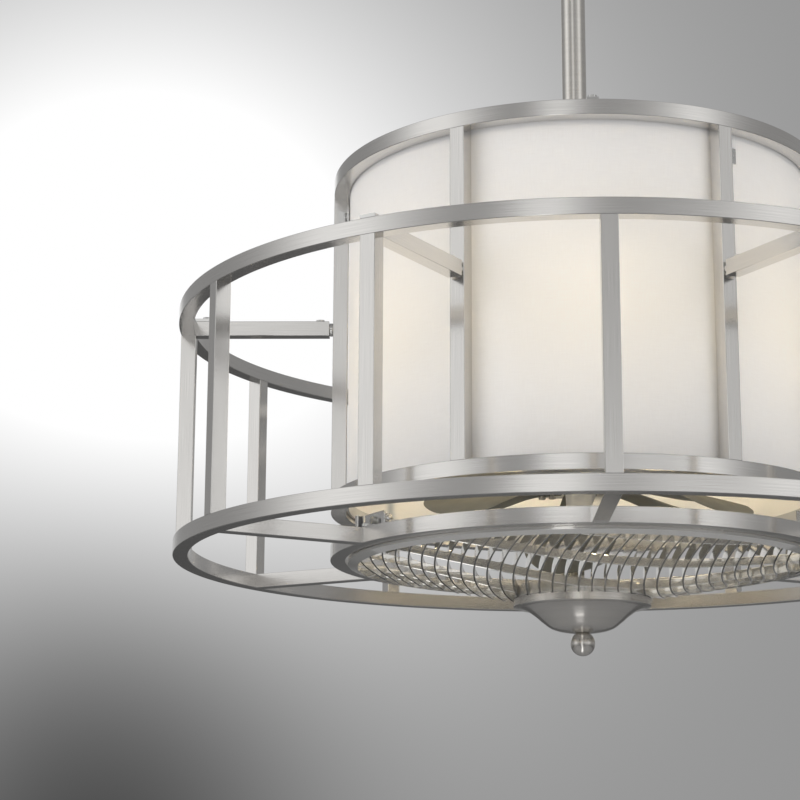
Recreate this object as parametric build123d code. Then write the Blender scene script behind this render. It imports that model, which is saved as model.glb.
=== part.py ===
from build123d import *
import os
from math import asin, cos, degrees, radians, sin, sqrt

# Caged drum ceiling fan with lamps, in millimetres.
# The origin is the centre of the hanger bracket's top face, which lies against the ceiling,
# and +Z points up, so the whole fan hangs below zero.
# An azimuth is an angle about Z in degrees, from -Y towards +X.

# Ceiling fixing
bracket_length = 126.0
bracket_width = 50.0
bracket_sheet = 2.5
leg_width = 60.0
slot_spacing = 88.9
slot_length = 14.0
slot_radius = 2.6
end_tab_height = 14.0
end_tab_width = 16.0
wire_hole_radius = 9.0
seat_plate_depth = 9.0
ball_gap = 0.3
ball_drop = 55.0
ball_radius = 22.0
canopy_clearance = 1.0
canopy_wall = 1.2
canopy_gap = 1.0
canopy_side = 18.0
canopy_depth = 76.0
canopy_hole_radius = 26.0
canopy_screw_radius = 2.0
canopy_screw_head_radius = 4.0
canopy_screw_head_height = 2.6
canopy_screw_drop = 9.5
canopy_screw_inset = 9.0
swing_angle = 12.0

# Downrod and its coupling
downrod_length = 304.8
rod_radius = 13.45
rod_wall = 2.5
rod_above_ball = 30.0
rod_fit = 0.1
rod_pin_radius = 3.0
rod_pin_length = 40.0
rod_pin_rise = 6.0
coupling_radius = 21.0
coupling_height = 67.0
coupling_floor = 12.0
coupling_flange_radius = 34.0
coupling_flange_height = 6.0
coupling_pin_height = 47.0
set_screw_height = 28.0
set_screw_radius = 3.0
set_screw_length = 9.0
hole_gap = 0.15

# Spider that carries everything under the downrod
spider_sheet = 3.0
spider_disc_radius = 38.0
spider_arm_width = 12.0
spider_arm_count = 3
spider_arm_inset = 2.7
screw_radius = 2.5
screw_head_radius = 4.6
screw_head_height = 2.6
screw_length = 8.0
flange_screw_circle = 27.5
flange_screw_count = 4

# Cage of square tube
outer_ring_radius = 432.0
inner_ring_radius = 266.7
bar_side = 15.9
bar_wall = 1.5
cage_height = 264.1
drum_height = 369.2
drum_rise = 50.8
outer_post_count = 12
inner_post_count = 6
first_azimuth = 3.9
vent_radius = 3.0
spacer_radius = 7.2
spacer_length = 4.2
spacer_edge = 1.2
stud_radius = 4.0
stud_reach = 18.0
stud_in_post = 10.0
stud_screw_inset = 10.0
end_plate_thickness = 1.5
end_plate_margin = 1.0
lug_plate_thickness = 3.2
lug_plate_length = 34.0
lug_screw_inset = 27.0

# Shade
shade_ring_gap = 0.8
fabric_thickness = 1.0
shade_bottom_rise = 5.2
shade_top_drop = 8.0
hoop_thickness = 1.2
hoop_gap = 0.2
hoop_height = 12.0
hoop_tab_width = 14.0
hoop_tab_drop = 40.0
shade_bracket_sheet = 2.0
shade_bracket_height = 16.0
shade_bracket_reach = 16.0
shade_bracket_gap = 1.0
shade_bracket_depth = 11.0
shade_screw_drop = 39.0
shade_screw_radius = 1.5
shade_screw_head_radius = 3.2
shade_screw_head_height = 2.2
shade_nut_radius = 3.0
shade_nut_height = 2.4

# Motor
stem_flange_radius = 34.0
stem_flange_height = 5.0
motor_top_drop = 260.0
motor_height = 75.0
motor_radius = 90.0
motor_wall = 2.5
motor_boss_radius = 20.0
motor_boss_height = 12.0
motor_wire_hole_radius = 8.0
motor_split_share = 0.5
stator_height = 35.0
stator_bore_radius = 60.3
air_gap = 0.6
rotor_height = 39.0
shaft_radius = 7.5
shaft_shoulder_radius = 9.5
shaft_top_gap = 1.0
bearing_radius = 16.0
bearing_height = 9.0
bearing_seat_wall = 3.0
bearing_fit = 0.05
axial_gap = 0.3
shaft_hole_radius = 11.0
bolt_circle_radius = 81.0
bolt_count = 4
bolt_radius = 2.0
bolt_head_radius = 3.8
bolt_head_height = 2.6

# Blades
blade_count = 5
blade_azimuth = -30.0
hub_gap = 2.0
hub_flange_radius = 49.0
hub_flange_height = 4.0
hub_boss_radius = 16.5
hub_boss_low_radius = 14.0
hub_boss_height = 33.0
hub_bore_floor = 3.0
blade_tip_gap = 10.0
blade_tip_round = 66.0
blade_tab_start = 24.0
blade_tab_end = 50.0
blade_tab_width = 30.0
blade_tab_thickness = 6.0
blade_root_radius = 64.0
blade_middle_radius = 130.0
blade_root_chord = 44.0
blade_middle_chord = 74.0
blade_tip_chord = 106.0
blade_root_thickness = 4.4
blade_middle_thickness = 3.4
blade_tip_thickness = 2.6
blade_root_drop = 4.0
blade_middle_drop = 17.0
blade_tip_drop = 52.0
blade_root_pitch = 18.0
blade_middle_pitch = 9.0
blade_tip_pitch = 2.0
blade_screw_radius = 2.0
blade_screw_head_radius = 3.8
blade_screw_head_height = 2.4
blade_screw_radii = (31.0, 42.0)

# Lamps
lamp_plate_sheet = 2.0
lamp_disc_radius = 88.0
lamp_arm_width = 32.0
lamp_circle_radius = 140.0
lamp_count = 6
lampholder_radius = 19.0
lampholder_height = 45.0
lampholder_depth = 26.0
lamp_base_radius = 13.3
lamp_base_gap = 0.3
bulb_radius = 24.0
bulb_height = 82.0
bulb_neck_radius = 14.5

# Grille under the blades
grille_rim_gap = 2.8
grille_rim_width = 10.0
rim_outer_drop = 3.0
rim_inner_drop = 6.0
rim_height = 14.0
fin_count = 35
fin_pitch = 13.3
fin_shift = 3.1
fin_bow_radius = 441.0
fin_bow_offset = 75.7
fin_thickness = 1.8
fin_depth = 13.0
fin_edge_drop = 5.0
fin_end_drop = 39.0
hub_radius = 72.0
hub_wall = 2.5
hub_plate = 3.0
rib_azimuth = 25.0
rib_bow_radius = 860.0
rib_spacing = 70.0
rib_first_distance = 207.0
rib_count = 7
rib_thickness = 1.8
rim_tab_width = 16.0
rim_tab_thickness = 2.0
rim_tab_rise = 30.0
grille_bracket_count = 3
grille_bracket_sheet = 2.2
grille_bracket_width = 40.0
grille_bracket_height = 17.0
grille_bracket_inset = 4.7
grille_screw_rise = 25.0
grille_screw_radius = 2.0
grille_nut_radius = 4.2
grille_nut_height = 3.2

# Cap and finial
cap_radius = 72.5
cap_band = 7.0
cap_bowl_depth = 28.4
cap_brim_width = 15.5
cap_brim_drop = 4.2
cap_bowl_radius = 39.0
cap_bowl_shoulder_drop = 18.8
cap_wall = 1.2
finial_radius = 13.0
finial_seat_drop = 2.0
finial_stud_radius = 5.0
finial_stud_head_radius = 8.0
finial_stud_head_height = 5.0
finial_bore_depth = 12.0

# One overrun serves every cut, and one gap every screw's hole
overrun = 1.0
screw_gap = 0.15

# Levels, from the ceiling down
ball_z = -ball_drop
rod_top_z = ball_z + rod_above_ball
rod_bottom_z = rod_top_z - downrod_length
spider_top_z = rod_bottom_z - coupling_floor
drum_top_z = spider_top_z - spider_sheet
drum_bottom_z = drum_top_z - drum_height
cage_bottom_z = drum_bottom_z - drum_rise
cage_top_z = cage_bottom_z + cage_height
coupling_top_z = spider_top_z + coupling_height
shade_top_z = drum_top_z - shade_top_drop
shade_bottom_z = drum_bottom_z + shade_bottom_rise
shade_screw_z = drum_top_z - shade_screw_drop
motor_top_z = drum_top_z - motor_top_drop
motor_bottom_z = motor_top_z - motor_height
motor_split_z = motor_top_z - motor_height * motor_split_share
hub_top_z = motor_bottom_z - hub_gap
hub_flange_z = hub_top_z - hub_flange_height
hub_bottom_z = hub_flange_z - hub_boss_height
lamp_plate_top_z = motor_top_z + lamp_plate_sheet
lampholder_top_z = lamp_plate_top_z + lampholder_height
grille_ring_top_z = cage_bottom_z + bar_side
fin_end_z = cage_bottom_z - fin_end_drop
hub_plate_top_z = fin_end_z + fin_depth
cap_bottom_z = fin_end_z - cap_band - cap_bowl_depth
finial_z = cap_bottom_z + finial_seat_drop - finial_radius

# Radii that several pieces share
bracket_corner_radius = sqrt(bracket_length ** 2 + bracket_width ** 2) / 2
canopy_radius = bracket_corner_radius + canopy_clearance + canopy_wall
outer_ring_bore = outer_ring_radius - bar_side
inner_ring_bore = inner_ring_radius - bar_side
outer_bar_radius = outer_ring_radius - bar_side / 2
inner_bar_radius = inner_ring_radius - bar_side / 2
shade_radius = inner_ring_bore - shade_ring_gap
grille_rim_radius = inner_ring_bore - grille_rim_gap
fabric_inner_radius = shade_radius - fabric_thickness
hoop_radius = fabric_inner_radius - hoop_gap
hoop_inner_radius = hoop_radius - hoop_thickness
fin_outer_radius = grille_rim_radius - grille_rim_width
blade_tip_radius = fin_outer_radius - blade_tip_gap


def azimuths(count, first):
    return [first + index * 360 / count for index in range(count)]


inner_post_azimuths = azimuths(inner_post_count, first_azimuth - 360 / outer_post_count)
outer_post_azimuths = azimuths(outer_post_count, first_azimuth)
bottom_arm_azimuths = azimuths(inner_post_count, first_azimuth)
spider_azimuths = azimuths(spider_arm_count, first_azimuth)
lamp_azimuths = azimuths(lamp_count, first_azimuth)
blade_azimuths = azimuths(blade_count, blade_azimuth)
shade_bracket_azimuths = azimuths(spider_arm_count, inner_post_azimuths[5])
grille_bracket_azimuths = azimuths(grille_bracket_count, bottom_arm_azimuths[5])
bolt_azimuths = azimuths(bolt_count, first_azimuth)


def polar(radius, azimuth, height=0):
    angle = radians(azimuth)
    return (radius * sin(angle), -radius * cos(angle), height)


def turned(shape, azimuth):
    return shape.rotate(Axis.Z, azimuth)


def around(shape, azimuth_list):
    return [turned(shape, azimuth) for azimuth in azimuth_list]


def disc(radius, low, high):
    return Pos(0, 0, low) * extrude(Circle(radius), amount=high - low)


def annulus(outer, inner, low, high):
    return disc(outer, low, high) - disc(inner, low - overrun, high + overrun)


def block(x_span, y_span, z_span):
    spans = (x_span, y_span, z_span)
    centre = [(low + high) / 2 for low, high in spans]
    size = [high - low for low, high in spans]
    return Pos(*centre) * Box(*size)


def radial_block(near, far, width, low, high):
    return block((-width / 2, width / 2), (-far, -near), (low, high))


def upright_pin(radius, distance, low, high):
    return Pos(0, -distance, 0) * disc(radius, low, high)


def radial_pin(radius, near, far, height):
    plane = Plane(origin=(0, -near, height), z_dir=(0, -1, 0))
    return extrude(plane * Circle(radius), amount=far - near)


def cut(body, tools):
    for tool in tools:
        body = body - tool
    return body


def upright_screw(distance, face, length, radius, head_radius, head_height):
    shank = upright_pin(radius, distance, face - length, face)
    head = upright_pin(head_radius, distance, face, face + head_height)
    return shank + head


def turned_profile(points):
    outline = Plane.XZ * make_face(Polyline(*points, close=True))
    return revolve(outline, axis=Axis.Z)


# Ceiling fixing: the bracket, the canopy over it and its screws


def hanger_bracket():
    half_width = bracket_width / 2
    half_length = bracket_length / 2
    seat_top = ball_z - seat_plate_depth
    seat_bottom = seat_top - bracket_sheet
    end_low = -end_tab_height
    plate = block((-half_length, half_length), (-half_width, half_width), (-bracket_sheet, 0))
    leg_x = (-leg_width / 2, leg_width / 2)
    front_leg = block(leg_x, (-half_width - bracket_sheet, -half_width), (seat_bottom, 0))
    back_leg = block(leg_x, (half_width, half_width + bracket_sheet), (seat_bottom, 0))
    seat = block(leg_x, (-half_width, half_width), (seat_bottom, seat_top))
    tab_y = (-end_tab_width / 2, end_tab_width / 2)
    left_tab = block((-half_length, -half_length + bracket_sheet), tab_y, (end_low, -bracket_sheet))
    right_tab = block((half_length - bracket_sheet, half_length), tab_y, (end_low, -bracket_sheet))
    body = plate + front_leg + back_leg + seat + left_tab + right_tab
    slot = extrude(SlotOverall(slot_length, 2 * slot_radius), amount=bracket_sheet + 2 * overrun)
    for side in (-1, 1):
        body = body - Pos(side * slot_spacing / 2, 0, -bracket_sheet - overrun) * slot
    ball_space = Pos(0, 0, ball_z) * Sphere(ball_radius + ball_gap)
    entry_y = (-rod_radius - overrun, rod_radius + overrun)
    entry = block((0, leg_width), entry_y, (seat_bottom - overrun, seat_top + overrun))
    wires = disc(wire_hole_radius, -bracket_sheet - overrun, overrun)
    screws = canopy_screw_holes()
    return cut(body, [ball_space, entry, wires] + screws)


def canopy_screw_holes():
    height = -canopy_screw_drop
    near = bracket_length / 2 - bracket_sheet - overrun
    hole = radial_pin(canopy_screw_radius + screw_gap, near, canopy_radius + overrun, height)
    return around(hole, [90, -90])


def canopy_shell(radius, hole_radius, depth, side):
    top = -canopy_gap
    low = top - depth
    shoulder = top - side
    with BuildPart() as shell:
        with BuildSketch(Plane.XZ):
            with BuildLine():
                Line((0, top), (radius, top))
                Line((radius, top), (radius, shoulder))
                EllipticalCenterArc((hole_radius, shoulder), radius - hole_radius, shoulder - low,
                                    start_angle=270, arc_size=90)
                Line((hole_radius, low), (0, low))
                Line((0, low), (0, top))
            make_face()
        revolve(axis=Axis.Z)
    return shell.part


def canopy():
    outer = canopy_shell(canopy_radius, canopy_hole_radius, canopy_depth, canopy_side)
    inner_radius = canopy_radius - canopy_wall
    inner = canopy_shell(inner_radius, canopy_hole_radius, canopy_depth - canopy_wall, canopy_side)
    mouth = disc(inner_radius, -canopy_gap - overrun, -canopy_gap + overrun)
    hole_low = -canopy_gap - canopy_depth - overrun
    hole = disc(canopy_hole_radius, hole_low, ball_z)
    return cut(outer, [inner, mouth, hole] + canopy_screw_holes())


def canopy_screws():
    height = -canopy_screw_drop
    near = canopy_radius - canopy_wall - canopy_screw_inset
    head_far = canopy_radius + canopy_screw_head_height
    shank = radial_pin(canopy_screw_radius, near, canopy_radius, height)
    head = radial_pin(canopy_screw_head_radius, canopy_radius, head_far, height)
    return around(shank + head, [90, -90])


# Downrod, its ball and its coupling


def rod_pin(height):
    half = rod_pin_length / 2
    return radial_pin(rod_pin_radius, -half, half, height)


def rod_pin_hole(height):
    half = rod_pin_length / 2
    return radial_pin(rod_pin_radius + hole_gap, -half - overrun, half + overrun, height)


def ball_pin_z():
    return ball_z + rod_pin_rise


def coupling_pin_z():
    return spider_top_z + coupling_pin_height


def hang_ball():
    ball = Pos(0, 0, ball_z) * Sphere(ball_radius)
    bore = disc(rod_radius + rod_fit, ball_z - ball_radius - overrun, ball_z + ball_radius + overrun)
    return cut(ball, [bore, rod_pin_hole(ball_pin_z())])


def downrod():
    tube = annulus(rod_radius, rod_radius - rod_wall, rod_bottom_z, rod_top_z)
    return cut(tube, [rod_pin_hole(ball_pin_z()), rod_pin_hole(coupling_pin_z())])


def rod_pins():
    return [rod_pin(ball_pin_z()), rod_pin(coupling_pin_z())]


def flange_screw_places():
    return azimuths(flange_screw_count, first_azimuth)


def flange_holes(low, high):
    hole = upright_pin(screw_radius + screw_gap, flange_screw_circle, low - overrun, high + overrun)
    return around(hole, flange_screw_places())


def set_screw(radius, near, far):
    pin = radial_pin(radius, near, far, spider_top_z + set_screw_height)
    return around(pin, [0, 180])


def rod_coupling():
    flange_top = spider_top_z + coupling_flange_height
    flange = disc(coupling_flange_radius, spider_top_z, flange_top)
    body = disc(coupling_radius, spider_top_z, coupling_top_z)
    bore = disc(rod_radius + rod_fit, rod_bottom_z, coupling_top_z + overrun)
    wires = disc(rod_radius - rod_wall, spider_top_z - overrun, rod_bottom_z + overrun)
    tools = [bore, wires, rod_pin_hole(coupling_pin_z())]
    tools += set_screw(set_screw_radius + screw_gap, rod_radius, coupling_radius + overrun)
    tools += flange_holes(spider_top_z, flange_top)
    return cut(flange + body, tools)


def coupling_set_screws():
    return set_screw(set_screw_radius, rod_radius, rod_radius + set_screw_length)


# Spider on the top ring


def spider_screw_hole(low, high):
    hole = upright_pin(screw_radius + screw_gap, inner_bar_radius, low - overrun, high + overrun)
    return around(hole, spider_azimuths)


def top_spider():
    low = drum_top_z
    high = spider_top_z
    body = disc(spider_disc_radius, low, high)
    reach = inner_ring_radius - spider_arm_inset
    for arm in around(radial_block(0, reach, spider_arm_width, low, high), spider_azimuths):
        body = body + arm
    wires = disc(rod_radius - rod_wall, low - overrun, high + overrun)
    return cut(body, [wires] + flange_holes(low, high) + spider_screw_hole(low, high))


def spider_screws():
    one = upright_screw(inner_bar_radius, spider_top_z, screw_length,
                        screw_radius, screw_head_radius, screw_head_height)
    return around(one, spider_azimuths)


def flange_screws():
    face = spider_top_z + coupling_flange_height
    length = coupling_flange_height + spider_sheet + stem_flange_height
    one = upright_screw(flange_screw_circle, face, length,
                        screw_radius, screw_head_radius, screw_head_height)
    return around(one, flange_screw_places())


# Cage: five rings, posts and arms of one square tube


def square_ring(outer_radius, low):
    high = low + bar_side
    ring = annulus(outer_radius, outer_radius - bar_side, low, high)
    core_outer = outer_radius - bar_wall
    core_inner = outer_radius - bar_side + bar_wall
    return ring - annulus(core_outer, core_inner, low + bar_wall, high - bar_wall)


def wall_holes(radius, distance, wall_low, places):
    hole = upright_pin(radius, distance, wall_low - overrun, wall_low + bar_wall + overrun)
    return around(hole, places)


def outer_ring_top():
    low = cage_top_z - bar_side
    vents = wall_holes(vent_radius, outer_bar_radius, low, outer_post_azimuths)
    return cut(square_ring(outer_ring_radius, low), vents)


def outer_ring_bottom():
    vents = wall_holes(vent_radius, outer_bar_radius, grille_ring_top_z - bar_wall, outer_post_azimuths)
    return cut(square_ring(outer_ring_radius, cage_bottom_z), vents)


def inner_ring_top():
    low = drum_top_z - bar_side
    vents = wall_holes(vent_radius, inner_bar_radius, low, inner_post_azimuths)
    threads = wall_holes(screw_radius, inner_bar_radius, drum_top_z - bar_wall, spider_azimuths)
    return cut(square_ring(inner_ring_radius, low), vents + threads)


def hoop_screw_z():
    return drum_bottom_z + bar_side / 2


def inner_ring_bottom():
    wall = drum_bottom_z + bar_side - bar_wall
    vents = wall_holes(vent_radius, inner_bar_radius, wall, inner_post_azimuths)
    far = inner_ring_bore + bar_wall + overrun
    thread = radial_pin(shade_screw_radius, inner_ring_bore - overrun, far, hoop_screw_z())
    return cut(square_ring(inner_ring_radius, drum_bottom_z), vents + around(thread, spider_azimuths))


def grille_ring():
    wall = grille_ring_top_z - bar_wall
    threads = wall_holes(screw_radius, inner_bar_radius, wall, grille_bracket_azimuths)
    return cut(square_ring(inner_ring_radius, cage_bottom_z), threads)


def post(centre_radius, low, high):
    outside = radial_block(centre_radius - bar_side / 2, centre_radius + bar_side / 2, bar_side, low, high)
    hollow = bar_side - 2 * bar_wall
    inside = radial_block(centre_radius - hollow / 2, centre_radius + hollow / 2, hollow,
                          low - overrun, high + overrun)
    return outside - inside


def outer_posts():
    one = post(outer_bar_radius, grille_ring_top_z, cage_top_z - bar_side)
    return around(one, outer_post_azimuths)


def stud_hole(near, far):
    return radial_pin(stud_radius + hole_gap, near, far, cage_top_z - bar_side / 2)


def inner_post():
    one = post(inner_bar_radius, drum_bottom_z + bar_side, drum_top_z - bar_side)
    return one - stud_hole(inner_bar_radius, inner_ring_radius + overrun)


def arm(near, far, low, near_wall):
    high = low + bar_side
    outside = radial_block(near, far, bar_side, low, high)
    hollow = bar_side - 2 * bar_wall
    inside = radial_block(near + near_wall, far + overrun, hollow, low + bar_wall, high - bar_wall)
    round_end = disc(outer_ring_bore, low - overrun, high + overrun)
    return (outside - inside) & round_end


def top_arm():
    near = inner_ring_radius + spacer_length
    low = cage_top_z - bar_side
    body = arm(near, outer_ring_radius - bar_wall, low, bar_wall)
    tools = [stud_hole(near - overrun, near + bar_wall + overrun)]
    for distance in (near + stud_screw_inset, outer_ring_radius - lug_screw_inset):
        tools.append(upright_pin(screw_radius + screw_gap, distance,
                                 cage_top_z - bar_wall - overrun, cage_top_z + overrun))
    return cut(body, tools)


def top_arms():
    return around(top_arm(), inner_post_azimuths)


def bottom_arms():
    near = inner_ring_radius + end_plate_thickness
    one = arm(near, outer_ring_radius - bar_wall, cage_bottom_z, 0)
    return around(one, bottom_arm_azimuths)


def arm_spacers():
    height = cage_top_z - bar_side / 2
    near = inner_ring_radius
    far = near + spacer_length
    collar = radial_pin(spacer_radius, near, far, height)
    collar = fillet(collar.edges().filter_by(GeomType.CIRCLE), spacer_edge)
    stud = radial_pin(stud_radius, near - stud_in_post, far + stud_reach, height)
    return around(collar + stud, inner_post_azimuths)


def arm_end_plates():
    width = bar_side + 2 * end_plate_margin
    far = inner_ring_radius + end_plate_thickness
    plate = radial_block(inner_bar_radius, far, width, cage_bottom_z, grille_ring_top_z)
    ring_space = disc(inner_ring_radius, cage_bottom_z - overrun, grille_ring_top_z + overrun)
    return around(plate - ring_space, bottom_arm_azimuths)


def lug_plates():
    near = outer_ring_radius - lug_plate_length
    plate = radial_block(near, outer_ring_radius, bar_side, cage_top_z, cage_top_z + lug_plate_thickness)
    screw = upright_pin(screw_radius + screw_gap, outer_ring_radius - lug_screw_inset,
                        cage_top_z - overrun, cage_top_z + lug_plate_thickness + overrun)
    return around(plate - screw, inner_post_azimuths)


def lug_screws():
    lug_face = cage_top_z + lug_plate_thickness
    outer = upright_screw(outer_ring_radius - lug_screw_inset, lug_face, screw_length,
                          screw_radius, screw_head_radius, screw_head_height)
    stud_top = cage_top_z - bar_side / 2 + stud_radius
    inner = upright_screw(inner_ring_radius + spacer_length + stud_screw_inset, cage_top_z,
                          cage_top_z - stud_top, screw_radius, screw_head_radius, screw_head_height)
    return around(outer, inner_post_azimuths) + around(inner, inner_post_azimuths)


# Shade: fabric on two flat hoops, held by three brackets above and three screws below


def bracket_screw_offset():
    return degrees((bar_side / 2 + shade_bracket_reach / 2) / shade_radius)


def top_screw_places():
    return [place + bracket_screw_offset() for place in shade_bracket_azimuths]


def shade_screw_holes(near, far):
    radius = shade_screw_radius + screw_gap
    top = radial_pin(radius, near - overrun, far + overrun, shade_screw_z)
    low = radial_pin(radius, near - overrun, far + overrun, hoop_screw_z())
    return around(top, top_screw_places()) + around(low, spider_azimuths)


def shade_fabric():
    drum = annulus(shade_radius, fabric_inner_radius, shade_bottom_z, shade_top_z)
    return cut(drum, shade_screw_holes(fabric_inner_radius, shade_radius))


def shade_hoops():
    top = annulus(hoop_radius, hoop_inner_radius, shade_top_z - hoop_height, shade_top_z)
    tab_band = annulus(hoop_radius, hoop_inner_radius, shade_top_z - hoop_tab_drop, shade_top_z)
    window = radial_block(hoop_inner_radius - hoop_thickness, shade_radius, hoop_tab_width,
                          shade_top_z - hoop_tab_drop, shade_top_z)
    for place in top_screw_places():
        top = top + (tab_band & turned(window, place))
    low = annulus(hoop_radius, hoop_inner_radius, shade_bottom_z, shade_bottom_z + hoop_height)
    holes = shade_screw_holes(hoop_inner_radius, fabric_inner_radius)
    return [cut(top, holes), cut(low, holes)]


def shade_bracket_face():
    return shade_radius + shade_bracket_gap + shade_bracket_sheet


def shade_brackets():
    low = shade_screw_z - shade_bracket_height / 2
    high = shade_screw_z + shade_bracket_height / 2
    side = bar_side / 2
    back = shade_radius + shade_bracket_gap
    face = shade_bracket_face()
    band = annulus(face, back, low, high)
    plate = band & block((side, side + shade_bracket_reach), (-face, 0), (low, high))
    flange_x = (side, side + shade_bracket_sheet)
    flange = block(flange_x, (-back - shade_bracket_depth, -back), (low, high))
    flange = flange - disc(back, low - overrun, high + overrun)
    one = plate + flange
    hole = radial_pin(shade_screw_radius + screw_gap, back - overrun, face + overrun, shade_screw_z)
    return around(one - turned(hole, bracket_screw_offset()), shade_bracket_azimuths)


def shade_screws():
    face = shade_bracket_face()
    nut_far = sqrt(hoop_inner_radius ** 2 - shade_nut_radius ** 2)
    nut_near = nut_far - shade_nut_height
    shank = radial_pin(shade_screw_radius, nut_near, face, shade_screw_z)
    head = radial_pin(shade_screw_head_radius, face, face + shade_screw_head_height, shade_screw_z)
    nut = radial_pin(shade_nut_radius, nut_near, nut_far, shade_screw_z)
    top = shank + head + nut
    height = hoop_screw_z()
    head_far = sqrt(hoop_inner_radius ** 2 - shade_screw_head_radius ** 2)
    low_head = radial_pin(shade_screw_head_radius, head_far - shade_screw_head_height, head_far, height)
    low_shank = radial_pin(shade_screw_radius, head_far, inner_ring_bore + bar_wall, height)
    return around(top, top_screw_places()) + around(low_head + low_shank, spider_azimuths)


# Motor: a fixed housing of two halves round a stator, with the rotor on a shaft in two bearings


def motor_stem():
    low = motor_top_z
    flange_low = drum_top_z - stem_flange_height
    tube = disc(rod_radius, low, drum_top_z)
    flange = disc(stem_flange_radius, flange_low, drum_top_z)
    bore = disc(rod_radius - rod_wall, low - overrun, drum_top_z + overrun)
    threads = upright_pin(screw_radius, flange_screw_circle, flange_low - overrun, drum_top_z + overrun)
    return cut(tube + flange, [bore] + around(threads, flange_screw_places()))


def bolt_holes(low, high):
    hole = upright_pin(bolt_radius + screw_gap, bolt_circle_radius, low - overrun, high + overrun)
    return around(hole, bolt_azimuths)


def bearing_seat(low, high):
    return annulus(bearing_radius + bearing_seat_wall, bearing_radius, low, high)


def motor_housing_top():
    floor = motor_top_z - motor_wall
    boss_top = motor_top_z + motor_boss_height
    shell = disc(motor_radius, motor_split_z, motor_top_z)
    shell = shell - disc(motor_radius - motor_wall, motor_split_z - overrun, floor)
    boss = disc(motor_boss_radius, motor_top_z, boss_top)
    stem_bore = disc(rod_radius, motor_top_z, boss_top + overrun)
    wires = disc(motor_wire_hole_radius, floor - overrun, motor_top_z + overrun)
    seat = bearing_seat(floor - bearing_height, floor)
    return cut(shell + boss + seat, [stem_bore, wires] + bolt_holes(floor, motor_top_z))


def motor_housing_bottom():
    floor = motor_bottom_z + motor_wall
    shell = disc(motor_radius, motor_bottom_z, motor_split_z)
    shell = shell - disc(motor_radius - motor_wall, floor, motor_split_z + overrun)
    seat = bearing_seat(floor, floor + bearing_height)
    shaft_hole = disc(shaft_hole_radius, motor_bottom_z - overrun, floor + overrun)
    threads = upright_pin(bolt_radius, bolt_circle_radius, motor_bottom_z - overrun, floor + overrun)
    return cut(shell + seat, [shaft_hole] + around(threads, bolt_azimuths))


def motor_stator():
    low = motor_split_z - stator_height / 2
    high = motor_split_z + stator_height / 2
    core = annulus(motor_radius - motor_wall, stator_bore_radius, low, high)
    return cut(core, bolt_holes(low, high))


def motor_rotor():
    low = motor_split_z - rotor_height / 2
    high = motor_split_z + rotor_height / 2
    return annulus(stator_bore_radius - air_gap, shaft_shoulder_radius, low, high)


def motor_shaft():
    lower_seat = motor_bottom_z + motor_wall + bearing_height
    upper_seat = motor_top_z - motor_wall - bearing_height
    top = motor_top_z - motor_wall - shaft_top_gap
    shaft = disc(shaft_radius, hub_bottom_z + hub_bore_floor, top)
    shoulder = disc(shaft_shoulder_radius, lower_seat + axial_gap, upper_seat - axial_gap)
    return shaft + shoulder


def motor_bearings():
    bore = shaft_radius + bearing_fit
    low_floor = motor_bottom_z + motor_wall
    high_floor = motor_top_z - motor_wall
    lower = annulus(bearing_radius, bore, low_floor, low_floor + bearing_height)
    upper = annulus(bearing_radius, bore, high_floor - bearing_height, high_floor)
    return [lower, upper]


def motor_screws():
    one = upright_screw(bolt_circle_radius, lamp_plate_top_z, lamp_plate_top_z - motor_bottom_z,
                        bolt_radius, bolt_head_radius, bolt_head_height)
    return around(one, bolt_azimuths)


# Blades on their hub


def blade_hub():
    flange = disc(hub_flange_radius, hub_flange_z, hub_top_z)
    boss = turned_profile([(0, hub_bottom_z), (hub_boss_low_radius, hub_bottom_z),
                           (hub_boss_radius, hub_flange_z), (0, hub_flange_z)])
    bore = disc(shaft_radius, hub_bottom_z + hub_bore_floor, hub_top_z + overrun)
    threads = []
    for distance in blade_screw_radii:
        thread = upright_pin(blade_screw_radius, distance, hub_flange_z - overrun, hub_top_z + overrun)
        threads += around(thread, blade_azimuths)
    return cut(flange + boss, [bore] + threads)


def blade_section(distance, drop, chord, thickness, pitch):
    centre = (0, -distance, hub_flange_z - blade_tab_thickness / 2 - drop)
    plane = Plane(origin=centre, x_dir=(cos(radians(pitch)), 0, sin(radians(pitch))), z_dir=(0, -1, 0))
    return plane * Rectangle(chord, thickness)


def blade():
    tab_low = hub_flange_z - blade_tab_thickness
    tab = radial_block(blade_tab_start, blade_tab_end, blade_tab_width, tab_low, hub_flange_z)
    tip = blade_tip_radius + blade_tip_thickness
    sections = [
        blade_section(blade_tab_end, 0, blade_tab_width, blade_tab_thickness, 0),
        blade_section(blade_root_radius, blade_root_drop, blade_root_chord,
                      blade_root_thickness, blade_root_pitch),
        blade_section(blade_middle_radius, blade_middle_drop, blade_middle_chord,
                      blade_middle_thickness, blade_middle_pitch),
        blade_section(tip, blade_tip_drop, blade_tip_chord, blade_tip_thickness, blade_tip_pitch),
    ]
    neck = loft(sections[:2], ruled=True)
    inner_vane = loft(sections[1:3], ruled=True)
    outer_vane = loft(sections[2:], ruled=True)
    round_centre = blade_tip_radius - blade_tip_round
    round_tip = upright_pin(blade_tip_round, round_centre, cage_bottom_z, hub_top_z)
    trim = round_tip + radial_block(0, round_centre, 2 * blade_tip_round, cage_bottom_z, hub_top_z)
    body = (tab + neck + inner_vane + outer_vane) & trim
    holes = [upright_pin(blade_screw_radius + screw_gap, distance, tab_low - overrun, hub_flange_z + overrun)
             for distance in blade_screw_radii]
    return cut(body, holes)


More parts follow.
